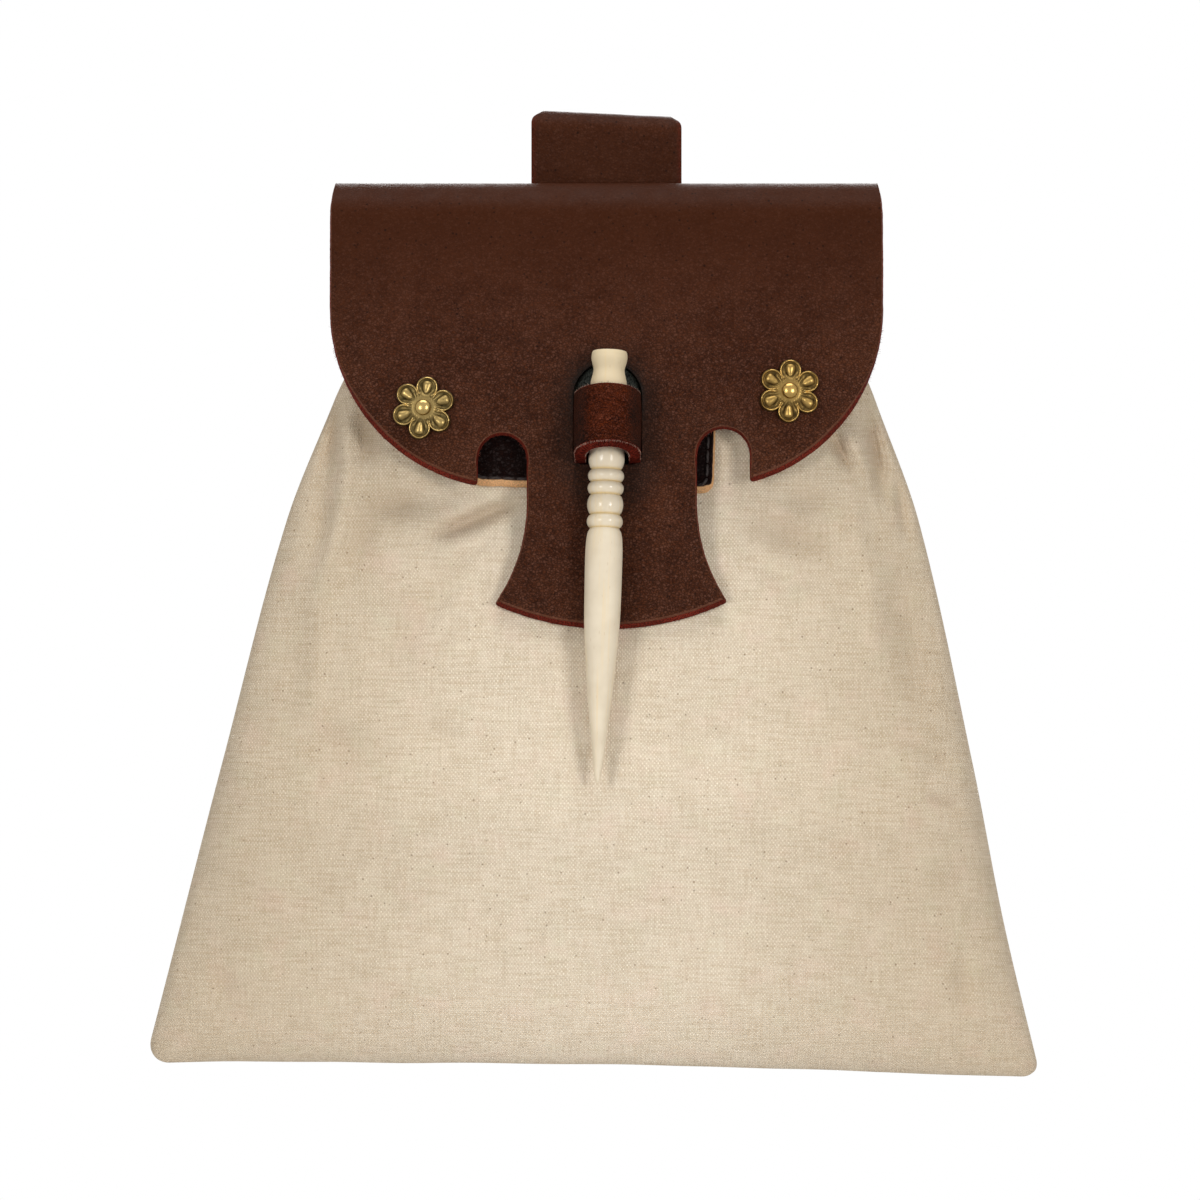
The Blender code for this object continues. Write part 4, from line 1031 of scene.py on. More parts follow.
def stitches(name, route, pitch, place, finish, nodes, closed=True):
    """Row of stitches along a route: each lies on the leather and dips into it at both ends."""
    fine = even_steps(route, pitch / 12, closed)
    if closed:
        fine = np.vstack([fine, fine[:1]])
    lengths = np.concatenate([[0], np.cumsum(np.linalg.norm(np.diff(fine, axis=0), axis=1))])
    count = round(lengths[-1] / pitch)
    rows = len(STITCH_STATIONS)
    points = []
    faces = []
    pattern = []
    for i in range(count):
        line = []
        for share, lift, _ in STITCH_STATIONS:
            at = (i + share) * lengths[-1] / count
            p = [np.interp(at, lengths, fine[:, k]) for k in range(2)]
            low = place(p[0], p[1], 0.0)
            up = (place(p[0], p[1], -MM) - low).normalized()
            line.append((low + up * lift * STITCH_RADIUS, up))
        rings = []
        for k, ((centre, up), (_, _, swell)) in enumerate(zip(line, STITCH_STATIONS)):
            ahead = (line[min(k + 1, rows - 1)][0] - line[max(k - 1, 0)][0]).normalized()
            side = ahead.cross(up).normalized()
            rings.append(circle(centre, side, side.cross(ahead), STITCH_RADIUS * swell, STITCH_SEGMENTS))
        for k in range(add_tube(rings, points, faces)):
            row, turn = divmod(k, STITCH_SEGMENTS)
            around = turn / STITCH_SEGMENTS * 2 * math.pi * STITCH_RADIUS
            pattern.append((around, (i * rows + row) * pitch / rows))
    made = build_piece(name, points, faces, finish, pattern)
    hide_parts(*nodes)


def fibre_finish(name, colour):
    """Loose leather fibres, paler and darker by turns."""
    f = Finish(name, Specular_IOR_Level=0.1)
    share = f.stretch(f.clouds(1.2, 2.0), 0.35, 0.65)
    return f.finish(f.mix(share, shade(colour, 0.35), colour), 0.9, f.bump(share, 0.02 * MM))


def build_fibres(name, roots, finish, length):
    """Loose fibres that stand off a cut edge, from (place, outward, along) roots."""
    points = []
    faces = []
    pattern = []
    for place, outward, along in roots:
        reach = length * random.uniform(0.35, 1.0)
        lean = along * random.uniform(-1.1, 1.1)
        across = outward.cross(along)
        curl = across * random.uniform(-0.7, 0.7)
        rings = []
        for k in range(FIBRE_STEPS + 1):
            share = k / FIBRE_STEPS
            centre = place + (outward + lean * share + curl * share ** 2) * reach * (share - 0.15)
            rings.append(circle(centre, along, across, FIBRE_RADIUS * (1 - 0.6 * share), FIBRE_SIDES))
        pattern += [(place.x, place.z)] * add_tube(rings, points, faces)
    made = build_piece(name, points, faces, finish, pattern)


def edge_roots(outline, place, count, chosen, hole=False):
    """Random roots for fibres on a plate's cut edge, where the outward direction is a chosen one."""
    loop = even_steps(outline, OUTLINE_STEP)
    normal = out_of(loop, hole)
    kept = [i for i in range(len(loop)) if chosen(loop[i], normal[i])]
    roots = []
    for _ in range(count):
        i = random.choice(kept)
        depth = random.uniform(0.3, 0.9) * LEATHER
        slide = random.uniform(-0.5, 0.5) * OUTLINE_STEP
        x, run = loop[i] + slide * np.array((normal[i][1], -normal[i][0]))
        here = place(x, run, depth)
        outward = (place(x + normal[i][0] * MM, run + normal[i][1] * MM, depth) - here).normalized()
        along = (place(x + normal[i][1] * MM, run - normal[i][0] * MM, depth) - here).normalized()
        roots.append((here, outward, along))
    return roots


def suede_finish():
    """Black flesh side of leather, dull and fibrous."""
    f = Finish("black_suede", Specular_IOR_Level=0.1)
    fibres = f.clouds(1.0, 4.0, f.scaled(3.2, 1.4, 0.4))
    colour = f.mix(f.stretch(fibres, 0.4, 0.65), (0.012, 0.014, 0.012), (0.070, 0.076, 0.066))
    return f.finish(colour, 0.95, f.bump(fibres, 0.3 * MM, 1.0))


def patch_place(x, run, depth):
    """Point of the patch at a depth behind its face."""
    return sheet_point(x, run, PATCH_INSET + depth)


def patch_bevel(point, normal):
    """Width of the patch's raw edge, widest along its foot."""
    return 0.8 * MM + 1.7 * MM * ease(normal[1], 0.2, 0.9)


def build_patch(finish, thread, fibres):
    """Leather patch on the canvas behind the slot, with the stitches round its edge."""
    spacing = (2.0 * MM, 1.8 * MM)
    made = leather_plate("closure_patch_leather", [patch_outline(0.0)], patch_place, LEATHER, patch_bevel,
                         finish, spacing, ragged=0.14 * MM)
    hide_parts("closure_patch")
    roots = edge_roots(patch_outline(0.0), patch_place, PATCH_FIBRES["count"], lambda p, n: n[1] > 0.5)
    build_fibres("patch_edge_fibres", roots, fibres, PATCH_FIBRES["length"])
    route = patch_outline(PATCH_STITCH_INSET + 0.3 * MM)
    stitches("patch_stitches", route, LONG_PITCH, patch_place, thread, ["patch_thread"])


def build_slot_suede(finish):
    """Rough flesh side of the leather that shows in the slot's round top, beside the pin's head."""
    def place(x, run, depth):
        is_face = depth < SUEDE_THICKNESS / 2
        return sheet_point(x, run, SUEDE_DEPTH + depth - waves(x, run, SUEDE_WAVES) * is_face)

    foot = LOOP_DROP - LOOP_HEIGHT / 2 - SUEDE_FOOT_GAP
    half = SLOT_HALF - SUEDE_SIDE_GAP
    outline = arc((LOOP_SHIFT, SLOT_TOP_DROP + SLOT_HALF), half, 180, 360, 30)
    outline += [(LOOP_SHIFT + half, foot), (LOOP_SHIFT - half, foot)]
    route = [(x, front_run(drop)) for x, drop in outline]
    spacing = (0.6 * MM, 0.5 * MM)
    made = leather_plate("slot_suede", [route], place, SUEDE_THICKNESS, lambda p, n: SLOT_BEVEL, finish,
                         spacing, passes=1)


def loop_stations():
    """The loop's middle line as (x, height over the flap, direction in degrees, thickness, turn share)."""
    tab_height = -(TAB_INSET + TAB_LEATHER / 2)
    leg_foot = tab_height + TAB_BEND
    pin_front = PIN_STANDOFF + PIN_RADIUS + FIT_GAP
    crown_height = (pin_front + LOOP_HEIGHT / 2 * math.sin(LOOP_TILT)) / math.cos(LOOP_TILT)
    centre = crown_height + LOOP_LEATHER / 2 - LOOP_HALF
    outer = LOOP_HALF + TAB_BEND
    stations = []
    tab_steps = 8
    for i in range(tab_steps):
        stations.append((-outer - TAB_LENGTH * (1 - i / tab_steps), tab_height, 0, TAB_LEATHER, 0))
    bend_steps = 10
    for i in range(bend_steps + 1):
        angle = math.radians(90 * i / bend_steps)
        x = -outer + TAB_BEND * math.sin(angle)
        height = leg_foot - TAB_BEND * math.cos(angle)
        thickness = TAB_LEATHER + (LOOP_LEATHER - TAB_LEATHER) * i / bend_steps
        stations.append((x, height, 90 * i / bend_steps, thickness, 0))
    leg_steps = 5
    for i in range(1, leg_steps):
        share = i / leg_steps
        height = leg_foot * (1 - share) + centre * share
        stations.append((-LOOP_HALF, height, 90, LOOP_LEATHER, ease(share, 0, 1)))
    crown_steps = 48
    for i in range(crown_steps // 2 + 1):
        angle = 180 * i / crown_steps
        x = -LOOP_HALF * math.cos(math.radians(angle))
        height = centre + LOOP_HALF * math.sin(math.radians(angle))
        stations.append((x, height, 90 - angle, LOOP_LEATHER, 1))
    mirrored = [(-x, height, -turn, thick, share) for x, height, turn, thick, share in stations[-2::-1]]
    return stations + mirrored


def strap_section(thickness, height, corner):
    """Cross-section of the loop's strap as (outward, down), its corners rounded."""
    half = thickness / 2
    section = []
    for sign_out, sign_down, start in ((1, -1, -90), (1, 1, 0), (-1, 1, 90), (-1, -1, 180)):
        for k in range(5):
            angle = math.radians(start + 90 * k / 4)
            out = sign_out * (half - corner) + corner * math.cos(angle)
            down = sign_down * (height / 2 - corner) + corner * math.sin(angle)
            section.append((out, down))
        face_steps = 4 if sign_out * sign_down > 0 else 12
        next_out = sign_out * (half - corner) if sign_out == sign_down else sign_out * half
        next_down = sign_down * height / 2 if sign_out == sign_down else sign_down * (height / 2 - corner)
        for k in range(1, face_steps):
            share = k / face_steps
            if sign_out == sign_down:
                section.append((next_out * (1 - 2 * share), next_down))
            else:
                section.append((next_out, next_down * (1 - 2 * share)))
    return section


def build_closure_loop(finish, thread, fibres):
    """Thick strap that stands out through the slot, its two ends turned out onto the patch."""
    middle_run = front_run(LOOP_DROP)
    rings = []
    pattern = []
    marks = []
    roots = []
    travelled = 0.0
    last = None
    for x, height, direction, thickness, share in loop_stations():
        turn = math.radians(direction)
        tilt = LOOP_TILT * share
        if last:
            travelled += math.dist(last, (x, height))
        last = (x, height)
        ring = []
        for out_part, down_part in strap_section(thickness, LOOP_HEIGHT, SECTION_CORNER):
            low = max(down_part / (LOOP_HEIGHT / 2), 0) ** 6
            raised = LOOP_BEVEL * low * (out_part / thickness + 0.5) * share
            raised += LEG_TUCK * low * float(ease(height, LEG_TUCK_HEIGHT, 0.0))
            rough = 0.16 * MM * wander(travelled + out_part, down_part, 1.3 * MM, 2.5)
            rough += 0.2 * MM * wander(travelled, down_part, 5 * MM, 8.5)
            offset = out_part + (rough if out_part > 0 else 0.0)
            side = LOOP_SHIFT + x - offset * math.sin(turn)
            level = height + offset * math.cos(turn)
            reach = down_part - raised + 0.5 * rough * abs(down_part) / LOOP_HEIGHT
            out = level * math.cos(tilt) + reach * math.sin(tilt)
            run = middle_run + reach * math.cos(tilt) - level * math.sin(tilt)
            ring.append(sheet_point(side, run, -out))
            pattern.append((travelled, down_part + out_part))
            cut = abs(down_part) > LOOP_HEIGHT / 2 - LOOP_DYED_WIDTH or out_part < 0
            marks.append(1.0 if cut else 0.0)
        rings.append(ring)
        outward = (ring[0] - ring[len(ring) // 2]).normalized()
        if len(rings) > 1 and share > 0.5:
            for corner, count in SECTION_FIBRES.items():
                ahead = (ring[corner] - rings[-2][corner]).normalized()
                up_or_down = Vector((0, 0, 1 if corner == SECTION_TOP else -1))
                for _ in range(count):
                    slid = ring[corner] + (rings[-2][corner] - ring[corner]) * random.random()
                    facing = up_or_down + outward * random.uniform(-0.2, 0.5)
                    roots.append((slid, facing.normalized(), ahead))
    points, faces = swept(rings)
    pattern += [(0.0, 0.0), (travelled, 0.0)]
    marks += [1.0, 1.0]
    made = build_piece("closure_loop_leather", points, faces, finish, pattern, {"edge": marks})
    # Painted shade: the loop darker towards its sides
    add_mark(made, "dye_and_painted_shade", lambda place: 0.6 * float(ease(abs(place.x - LOOP_SHIFT), 4 * MM, LOOP_HALF)))
    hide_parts("closure_loop")
    build_fibres("loop_edge_fibres", roots, fibres, LOOP_FIBRE_LENGTH)

    def tab_place(x, run, depth):
        return sheet_point(x, run, TAB_INSET + depth)

    middle = LOOP_HALF + TAB_BEND + TAB_LENGTH / 2
    width = TAB_LENGTH - 2 * TAB_STITCH_INSET
    high = LOOP_HEIGHT - 2 * TAB_STITCH_INSET
    for name, side in (("left", -1), ("right", 1)):
        outline = rounded_rectangle(LOOP_SHIFT + side * middle, LOOP_DROP, width, high, MM)
        route = [(x, front_run(drop)) for x, drop in outline]
        stitches(f"{name}_tab_stitches", route, TAB_PITCH, tab_place, thread, [f"{name}_tab_thread"])


def belt_loop_path():
    """Middle line of the belt loop's strap in (y, z), from one foot over the top to the other."""
    middle = BELT_GAP / 2 + LEATHER / 2
    top = BELT_OPENING / 2 - BELT_GAP / 2
    foot_top = -BELT_OPENING / 2 - STRAP_BEND
    foot = foot_top - STRAP_FOOT
    path = [(-middle, foot), (-middle, top)]
    path += [(y, z + top) for y, z in arc((0, 0), middle, 180, 0, 24)]
    foot_y = STRAP_FRONT_Y + LEATHER + FIT_GAP + LEATHER / 2
    path.append((middle, -BELT_OPENING / 2))
    steps = 10
    for i in range(1, steps + 1):
        share = i / steps
        path.append((middle + (foot_y - middle) * ease(share, 0, 1), -BELT_OPENING / 2 - STRAP_BEND * share))
    path.append((foot_y, foot))
    return path


def rounding(distance, radius):
    """Share of a radius that a rounded edge falls by at a distance from it."""
    return 1 - math.sqrt(max(1 - (1 - min(distance / radius, 1)) ** 2, 0))


def build_belt_loop(finish, thread):
    """Strap folded over at the top, its edges rounded and its two top corners cut round."""
    line = even_steps(belt_loop_path(), STRAP_STEP, closed=False)
    along = np.gradient(line, axis=0)
    along /= np.linalg.norm(along, axis=1, keepdims=True)
    reach = np.concatenate([[0], np.cumsum(np.linalg.norm(np.diff(line, axis=0), axis=1))])
    crown_top = BELT_OPENING / 2 + LEATHER
    half_thick = LEATHER / 2
    rings = []
    pattern = []
    marks = []
    for i, (y, z) in enumerate(line):
        end = min(reach[i], reach[-1] - reach[i])
        shrink = STRAP_END_SHRINK * rounding(end, STRAP_STEP)
        outward = Vector((0, -along[i][1], along[i][0]))
        halves = {}
        for side, corner in STRAP_CORNERS.items():
            low = max(z + half_thick - (crown_top - corner), 0)
            halves[side] = STRAP_WIDTH / 2 - corner + math.sqrt(max(corner ** 2 - min(low, corner) ** 2, 0))
        section = []
        for face in (1, -1):
            for k in range(STRAP_COLUMNS + 1):
                share = face * (2 * k / STRAP_COLUMNS - 1)
                section.append((share, face))
        ring = []
        for share, face in section:
            side = 1 if share > 0 else -1
            half = halves[side] - shrink
            x = share * half
            from_edge = half * (1 - abs(share))
            thin = STRAP_EDGE_THINNING * half_thick * rounding(from_edge, STRAP_EDGE_ROUND)
            thick = face * max(half_thick - shrink - thin, STRAP_THINNEST)
            lower = STRAP_TILT * x * ease(z, 9 * MM, 22 * MM)
            place = Vector((x, y, z - lower)) + outward * (thick + waves(x, reach[i], STRAP_WAVES))
            ring.append(place)
            pattern.append((x, reach[i] + thick))
            marks.append(STRAP_EDGE_DYE if from_edge < STRAP_DYED_WIDTH else 0.0)
        rings.append(ring)
    points, faces = swept(rings)
    pattern += [(0.0, 0.0), (0.0, reach[-1])]
    marks += [1.0, 1.0]
    made = build_piece("belt_loop_strap", points, faces, finish, pattern, {"edge": marks})
    # Smoother grain, and darker colour all over, the same painted shade as the flap's top
    add_mark(made, "smooth_and_painted_shade", lambda place: 0.8)
    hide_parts("belt_loop")

    foot_top = -BELT_OPENING / 2 - STRAP_BEND
    rear_y = STRAP_FRONT_Y + 2 * LEATHER + FIT_GAP
    width = STRAP_WIDTH - 2 * STRAP_STITCH_INSET
    high = STRAP_FOOT - 2 * STRAP_STITCH_INSET
    outline = rounded_rectangle(0, foot_top - STRAP_FOOT / 2, width, high, MM)
    stitches("belt_loop_stitches", outline, STRAP_PITCH, lambda x, z, d: Vector((x, rear_y - d, z)), thread,
             ["belt_loop_thread"])


def build_panel_stitches(thread):
    """Stitches down both sides and along the foot of the back panel."""
    side = PANEL_HALF - PANEL_SIDE_INSET
    foot = PANEL_DROP - PANEL_FOOT_INSET
    corner = PANEL_CORNER - PANEL_FOOT_INSET
    route = [(-side, PANEL_STITCH_TOP)]
    route += arc((-side + corner, foot - corner), corner, 180, 90, 8)
    route += arc((side - corner, foot - corner), corner, 90, 0, 8)
    route.append((side, PANEL_STITCH_TOP))
    flat = [(x, back_run(drop)) for x, drop in route]
    stitches("back_panel_stitches", flat, LONG_PITCH, flap_place, thread, ["back_panel_thread"], closed=False)


def pin_profile():
    """The pin's (distance, radius) points: head, waist, neck, beads, long shaft and point."""
    head = [(0.0, 0.0), (0.02, 0.45), (0.1, 0.8), (0.4, 0.91), (0.9, 0.95), (2.2, 0.96), (3.6, 0.9)]
    head += [(5.0, 0.83), (6.6, 0.88), (8.4, 0.965), (12.0, 0.93), (17.0, 0.89), (22.0, 0.87)]
    points = [(distance * MM, share * PIN_RADIUS) for distance, share in head]
    for start, stop in zip(BEAD_STARTS, BEAD_STARTS[1:]):
        for i in range(BEAD_STEPS):
            swell = math.sin(math.pi * i / BEAD_STEPS) ** 0.62
            radius = GROOVE_RADIUS + (BEAD_RADIUS - GROOVE_RADIUS) * swell
            points.append((start + (stop - start) * i / BEAD_STEPS, radius))
    shaft_start = BEAD_STARTS[-1]
    points.append((shaft_start, GROOVE_RADIUS))
    shaft = [(0.012, 0.88), (0.045, 0.965), (0.11, 1.0), (0.24, 0.99), (0.37, 0.955), (0.5, 0.84)]
    shaft += [(0.63, 0.7), (0.74, 0.55), (0.84, 0.395), (0.93, 0.245), (0.98, 0.15), (0.995, 0.08)]
    shaft.append((1.0, 0.0))
    for share, radius in shaft:
        points.append((shaft_start + (PIN_LENGTH - shaft_start) * share, radius * PIN_RADIUS))
    return points


def pin_axis():
    """The top of the pin's head, and the direction from head to point."""
    run = front_run(PIN_TOP_DROP)
    top = sheet_point(0, run, -PIN_STANDOFF) + Vector((PIN_SHIFT, 0, 0))
    down = sheet_point(0, run + PIN_LENGTH) - sheet_point(0, run)
    direction = down.normalized() * math.cos(PIN_LEAN) + Vector((-math.sin(PIN_LEAN), 0, 0))
    return top, direction


def build_pin(finish):
    """Turned bone pin, its surface a little uneven."""
    top, direction = pin_axis()
    turn = direction.to_track_quat("Z", "Y").to_matrix()
    radius_at = smooth_curve(pin_profile())
    spans = [(0.0, 0.9 * MM, 8), (1.1 * MM, 24.6 * MM, 44), (BEAD_STARTS[0], BEAD_STARTS[-1], 110)]
    spans.append((BEAD_STARTS[-1] + 0.3 * MM, PIN_LENGTH, 90))
    distances = [distance for span in spans for distance in np.linspace(*span)]
    rings = []
    pattern = []
    low = []
    bead = []
    for distance in distances[1:-1]:
        radius = radius_at(distance)
        ring = []
        for i in range(PIN_SEGMENTS):
            angle = 2 * math.pi * i / PIN_SEGMENTS
            slide = 3 * math.sin(angle) + distance / (6 * MM)
            uneven = 1 + PIN_UNEVENNESS * wander(3 * math.cos(angle), slide, 2.0, 4.5)
            local = Vector((math.cos(angle), math.sin(angle), 0)) * radius * uneven
            local.z = distance
            ring.append(top + turn @ local)
            pattern.append((angle * PIN_RADIUS, distance))
            beads = BEAD_STARTS[0] <= distance <= BEAD_STARTS[-1]
            groove = float(ease(radius, BEAD_RADIUS - 0.35 * MM, GROOVE_RADIUS)) if beads else 0.0
            low.append(0.5 if distance < BEAD_STARTS[0] else groove)
            bead.append(float(beads))
        rings.append(ring)
    points, faces = swept(rings)
    points[-2] = top
    points[-1] = top + direction * PIN_LENGTH
    pattern += [(0.0, 0.0), (0.0, PIN_LENGTH)]
    marks = {"low": low + [0.0, 0.0], "bead": bead + [0.0, 0.0]}
    made = build_piece("bone_closure_pin", points, faces, finish, pattern, marks, body="pin")
    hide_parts("bone_pin")


def sheet_frame(x, drop):
    """Place on the flap's outer face and its outward direction."""
    run = front_run(drop)
    place = sheet_point(x, run)
    across = sheet_point(x + MM, run) - sheet_point(x - MM, run)
    along = sheet_point(x, run + MM) - sheet_point(x, run - MM)
    return place, along.cross(across).normalized()


def ridge(away, place, width, height):
    """Height at a distance of a rounded ridge that stands at a place."""
    return height * math.exp(-((away - place) / width) ** 2)


def petal_relief(radius, local):
    """Height of the flower's upper face and how polished it is, which also sets the shade painted in its
    hollows, local the angle from the petal's middle.
    """
    u = (radius * math.cos(local) - PETAL_CENTRE) / PETAL_RADIUS
    v = radius * math.sin(local) / PETAL_RADIUS
    q = math.hypot(u, v)
    outer = ease(radius, 3.2 * MM, 4.4 * MM)
    rim = ridge(q, *PETAL_RIM) * outer
    along = min(max((u + 0.8) / 1.3, 0.0), 1.0)
    narrow = 0.6 * along ** 0.6 * (1 - 0.25 * along) + 0.05
    boss = BOSS_HEIGHT * max(1 - (v / narrow) ** 2 - (u / BOSS_LENGTH) ** 4, 0) ** 0.8
    to_gap = (math.pi / PETALS - abs(local)) * radius / MM
    vein = sum(ridge(to_gap, *each) for each in PETAL_VEINS)
    vein *= ease(radius, 5.9 * MM, 5.0 * MM) * ease(radius, 2.7 * MM, 3.4 * MM)
    middle = MIDDLE_HEIGHT * ease(radius, 4.9 * MM, 2.5 * MM)
    height = PETAL_BASE + max(rim, boss, vein) + middle
    polished = min(max(rim / PETAL_RIM[2], 0.8 * boss, vein / 0.4, 0.35 * middle), 1)
    if q > 0.9 and radius > PETAL_CENTRE * 0.9:
        height *= math.sqrt(max(1 - ((q - 0.9) / 0.1) ** 2, 0.02))
    return height * MM, polished


def build_rosette(side, x, drop, turn, finish):
    """Pressed brass flower: six petals with raised rims and bosses round a raised middle."""
    place, outward = sheet_frame(x, drop)
    place = place + outward * (FIT_GAP + flap_wave(x, front_run(drop)))
    matrix = outward.to_track_quat("Z", "Y").to_matrix()
    around = PETALS * PETAL_STEPS
    hole = 0.5 * HEAD_RADIUS
    points = []
    pattern = []
    high = []
    columns = []
    for i in range(around):
        angle = 2 * math.pi * i / around
        local = (angle + math.pi / PETALS) % (2 * math.pi / PETALS) - math.pi / PETALS
        reach = PETAL_CENTRE * math.cos(local)
        edge = reach + math.sqrt(PETAL_RADIUS ** 2 - (PETAL_CENTRE * math.sin(local)) ** 2)
        column = []
        for face in (1, -1):
            for k in range(RADIAL_STEPS):
                share = k / (RADIAL_STEPS - 1)
                share = share if face > 0 else 1 - share
                radius = hole + (edge - hole) * share
                height, polished = petal_relief(radius, local)
                if face < 0:
                    height = max(height - ROSETTE_WALL, 0.0) * (0.99 if share < 1 else 0.0)
                    polished = 0.0
                flat = Vector((math.sin(angle + turn), math.cos(angle + turn), 0)) * radius
                column.append(len(points))
                points.append(place + matrix @ (flat + Vector((0, 0, height))))
                pattern.append((flat.x, flat.y))
                high.append(polished)
        columns.append(column)
    faces = []
    for first, second in zip(columns, columns[1:] + columns[:1]):
        for k in range(len(first)):
            faces.append((first[k - 1], first[k], second[k], second[k - 1]))
    made = build_piece(f"{side}_flower", points, faces, finish, pattern, {"high": high})
    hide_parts(f"{side}_rosette")


def build_turned(name, place, outward, profile, polish_and_hollow_shade, finish, node, hollow=False):
    """Turned metal piece, or a hollow ring, from (distance, radius) points along the outward direction."""
    matrix = outward.to_track_quat("Z", "Y").to_matrix()
    side = Vector((1, 0, 0))
    top = Vector((0, 1, 0))
    rings = []
    pattern = []
    for distance, radius in profile:
        ring = circle(Vector((0, 0, distance)), side, top, radius, TURNED_SEGMENTS)
        rings.append([place + matrix @ local for local in ring])
        pattern += [(local.x, local.y + (0.0 if hollow else distance)) for local in ring]
    points, faces = swept(rings, cyclic=hollow)
    pattern += [(0.0, 0.0)] * (len(points) - len(pattern))
    made = build_piece(name, points, faces, finish, pattern, {"high": [polish_and_hollow_shade] * len(points)})
    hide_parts(node)


def build_rivet(side, x, drop, finish):
    """Domed rivet through the rosette and the flap, and the washer that its end is spread over."""
    place, outward = sheet_frame(x, drop)
    place = place + outward * flap_wave(x, front_run(drop))
    base = FIT_GAP + ROSETTE_TOP - HEAD_SINK
    washer_top = -LEATHER - FIT_GAP
    washer_low = washer_top - WASHER_THICKNESS
    tail_top = washer_low - RIVET_PLAY
    profile = []
    for i in range(DOME_STEPS):
        angle = math.pi / 2 * (1 - (i + 0.5) / DOME_STEPS)
        rise = (HEAD_RISE - HEAD_LIP) * math.sin(angle)
        profile.append((base + HEAD_LIP + rise, HEAD_RADIUS * math.cos(angle)))
    profile += [(base + HEAD_WALL, HEAD_RADIUS), (base, 0.93 * HEAD_RADIUS), (base, SHANK_RADIUS)]
    profile += [(tail_top, SHANK_RADIUS), (tail_top, 0.9 * TAIL_RADIUS), (tail_top - TAIL_EDGE, TAIL_RADIUS)]
    for i in range(TAIL_STEPS):
        angle = math.pi / 2 * (i + 1) / (TAIL_STEPS + 0.5)
        fall = (TAIL_HEIGHT - TAIL_EDGE) * math.sin(angle)
        profile.append((tail_top - TAIL_EDGE - fall, TAIL_RADIUS * math.cos(angle)))
    build_turned(f"{side}_domed_rivet", place, outward, profile, 1.0, finish, f"{side}_rivet")

    hole = SHANK_RADIUS + RIVET_PLAY
    rounded = 0.2 * MM
    flat = WASHER_RADIUS - rounded
    section = [(washer_top, hole), (washer_top, flat), (washer_top - rounded, WASHER_RADIUS)]
    section += [(washer_low + rounded, WASHER_RADIUS), (washer_low, flat), (washer_low, hole)]
    build_turned(f"{side}_washer", place, outward, section, 0.5, finish, f"{side}_rivet_washer", hollow=True)


def plane_y(drop):
    """How far forward the flap's outer face is at a drop, carried on below the tongue."""
    return sheet_point(0, front_run(drop)).y


def pouch_front_line():
    """Function for the canvas front's y at the middle of the pouch."""
    straight = 1 / math.cos(FLAP_SLOPE)
    under_tongue = LEATHER + 2 * FIT_GAP
    points = [(MOUTH_DROP, plane_y(MOUTH_DROP) + (LEATHER + MOUTH_CLEARANCE) * straight)]
    for drop in (PATCH_HIGHEST, (PATCH_HIGHEST + PATCH_LOWEST) / 2, PATCH_LOWEST):
        points.append((drop, plane_y(drop) + CANVAS_INSET * straight))
    neck = (PATCH_LOWEST + BLADE_DROP) / 2
    points.append((neck, plane_y(neck) + (under_tongue + CANVAS_INSET) / 2 * straight))
    points.append((BLADE_DROP, plane_y(BLADE_DROP) + under_tongue * straight))
    rest = (BLADE_DROP + BELLY_DROP) / 2
    points.append((rest, plane_y(rest) + (under_tongue + FIT_GAP) / 2 * straight))
    points.append((BELLY_DROP, CANVAS_BACK_Y - POUCH_DEPTH))
    points.append((BOTTOM_DROP, CANVAS_BACK_Y - BOTTOM_DEPTH))
    return smooth_curve(points)


FRONT_LINE = pouch_front_line()
SIDE_LINES = {-1: smooth_curve(LEFT_REACH), 1: smooth_curve(RIGHT_REACH)}


def pouch_reach(side, drop):
    """How far the pouch reaches to one side at a drop, its bottom corner rounded."""
    corner = BOTTOM_CORNERS[side]
    low = max(drop - (BOTTOM_DROP - corner), 0)
    lean = max(drop - SHOULDER_DROP, 0) / (BOTTOM_DROP - SHOULDER_DROP)
    reach = SIDE_LINES[side](drop / MM) * MM
    reach = SIDE_LINES[side](drop / MM + side * BOTTOM_SLOPE * reach / MM * lean) * MM
    return reach - corner + math.sqrt(max(corner ** 2 - low ** 2, 0))


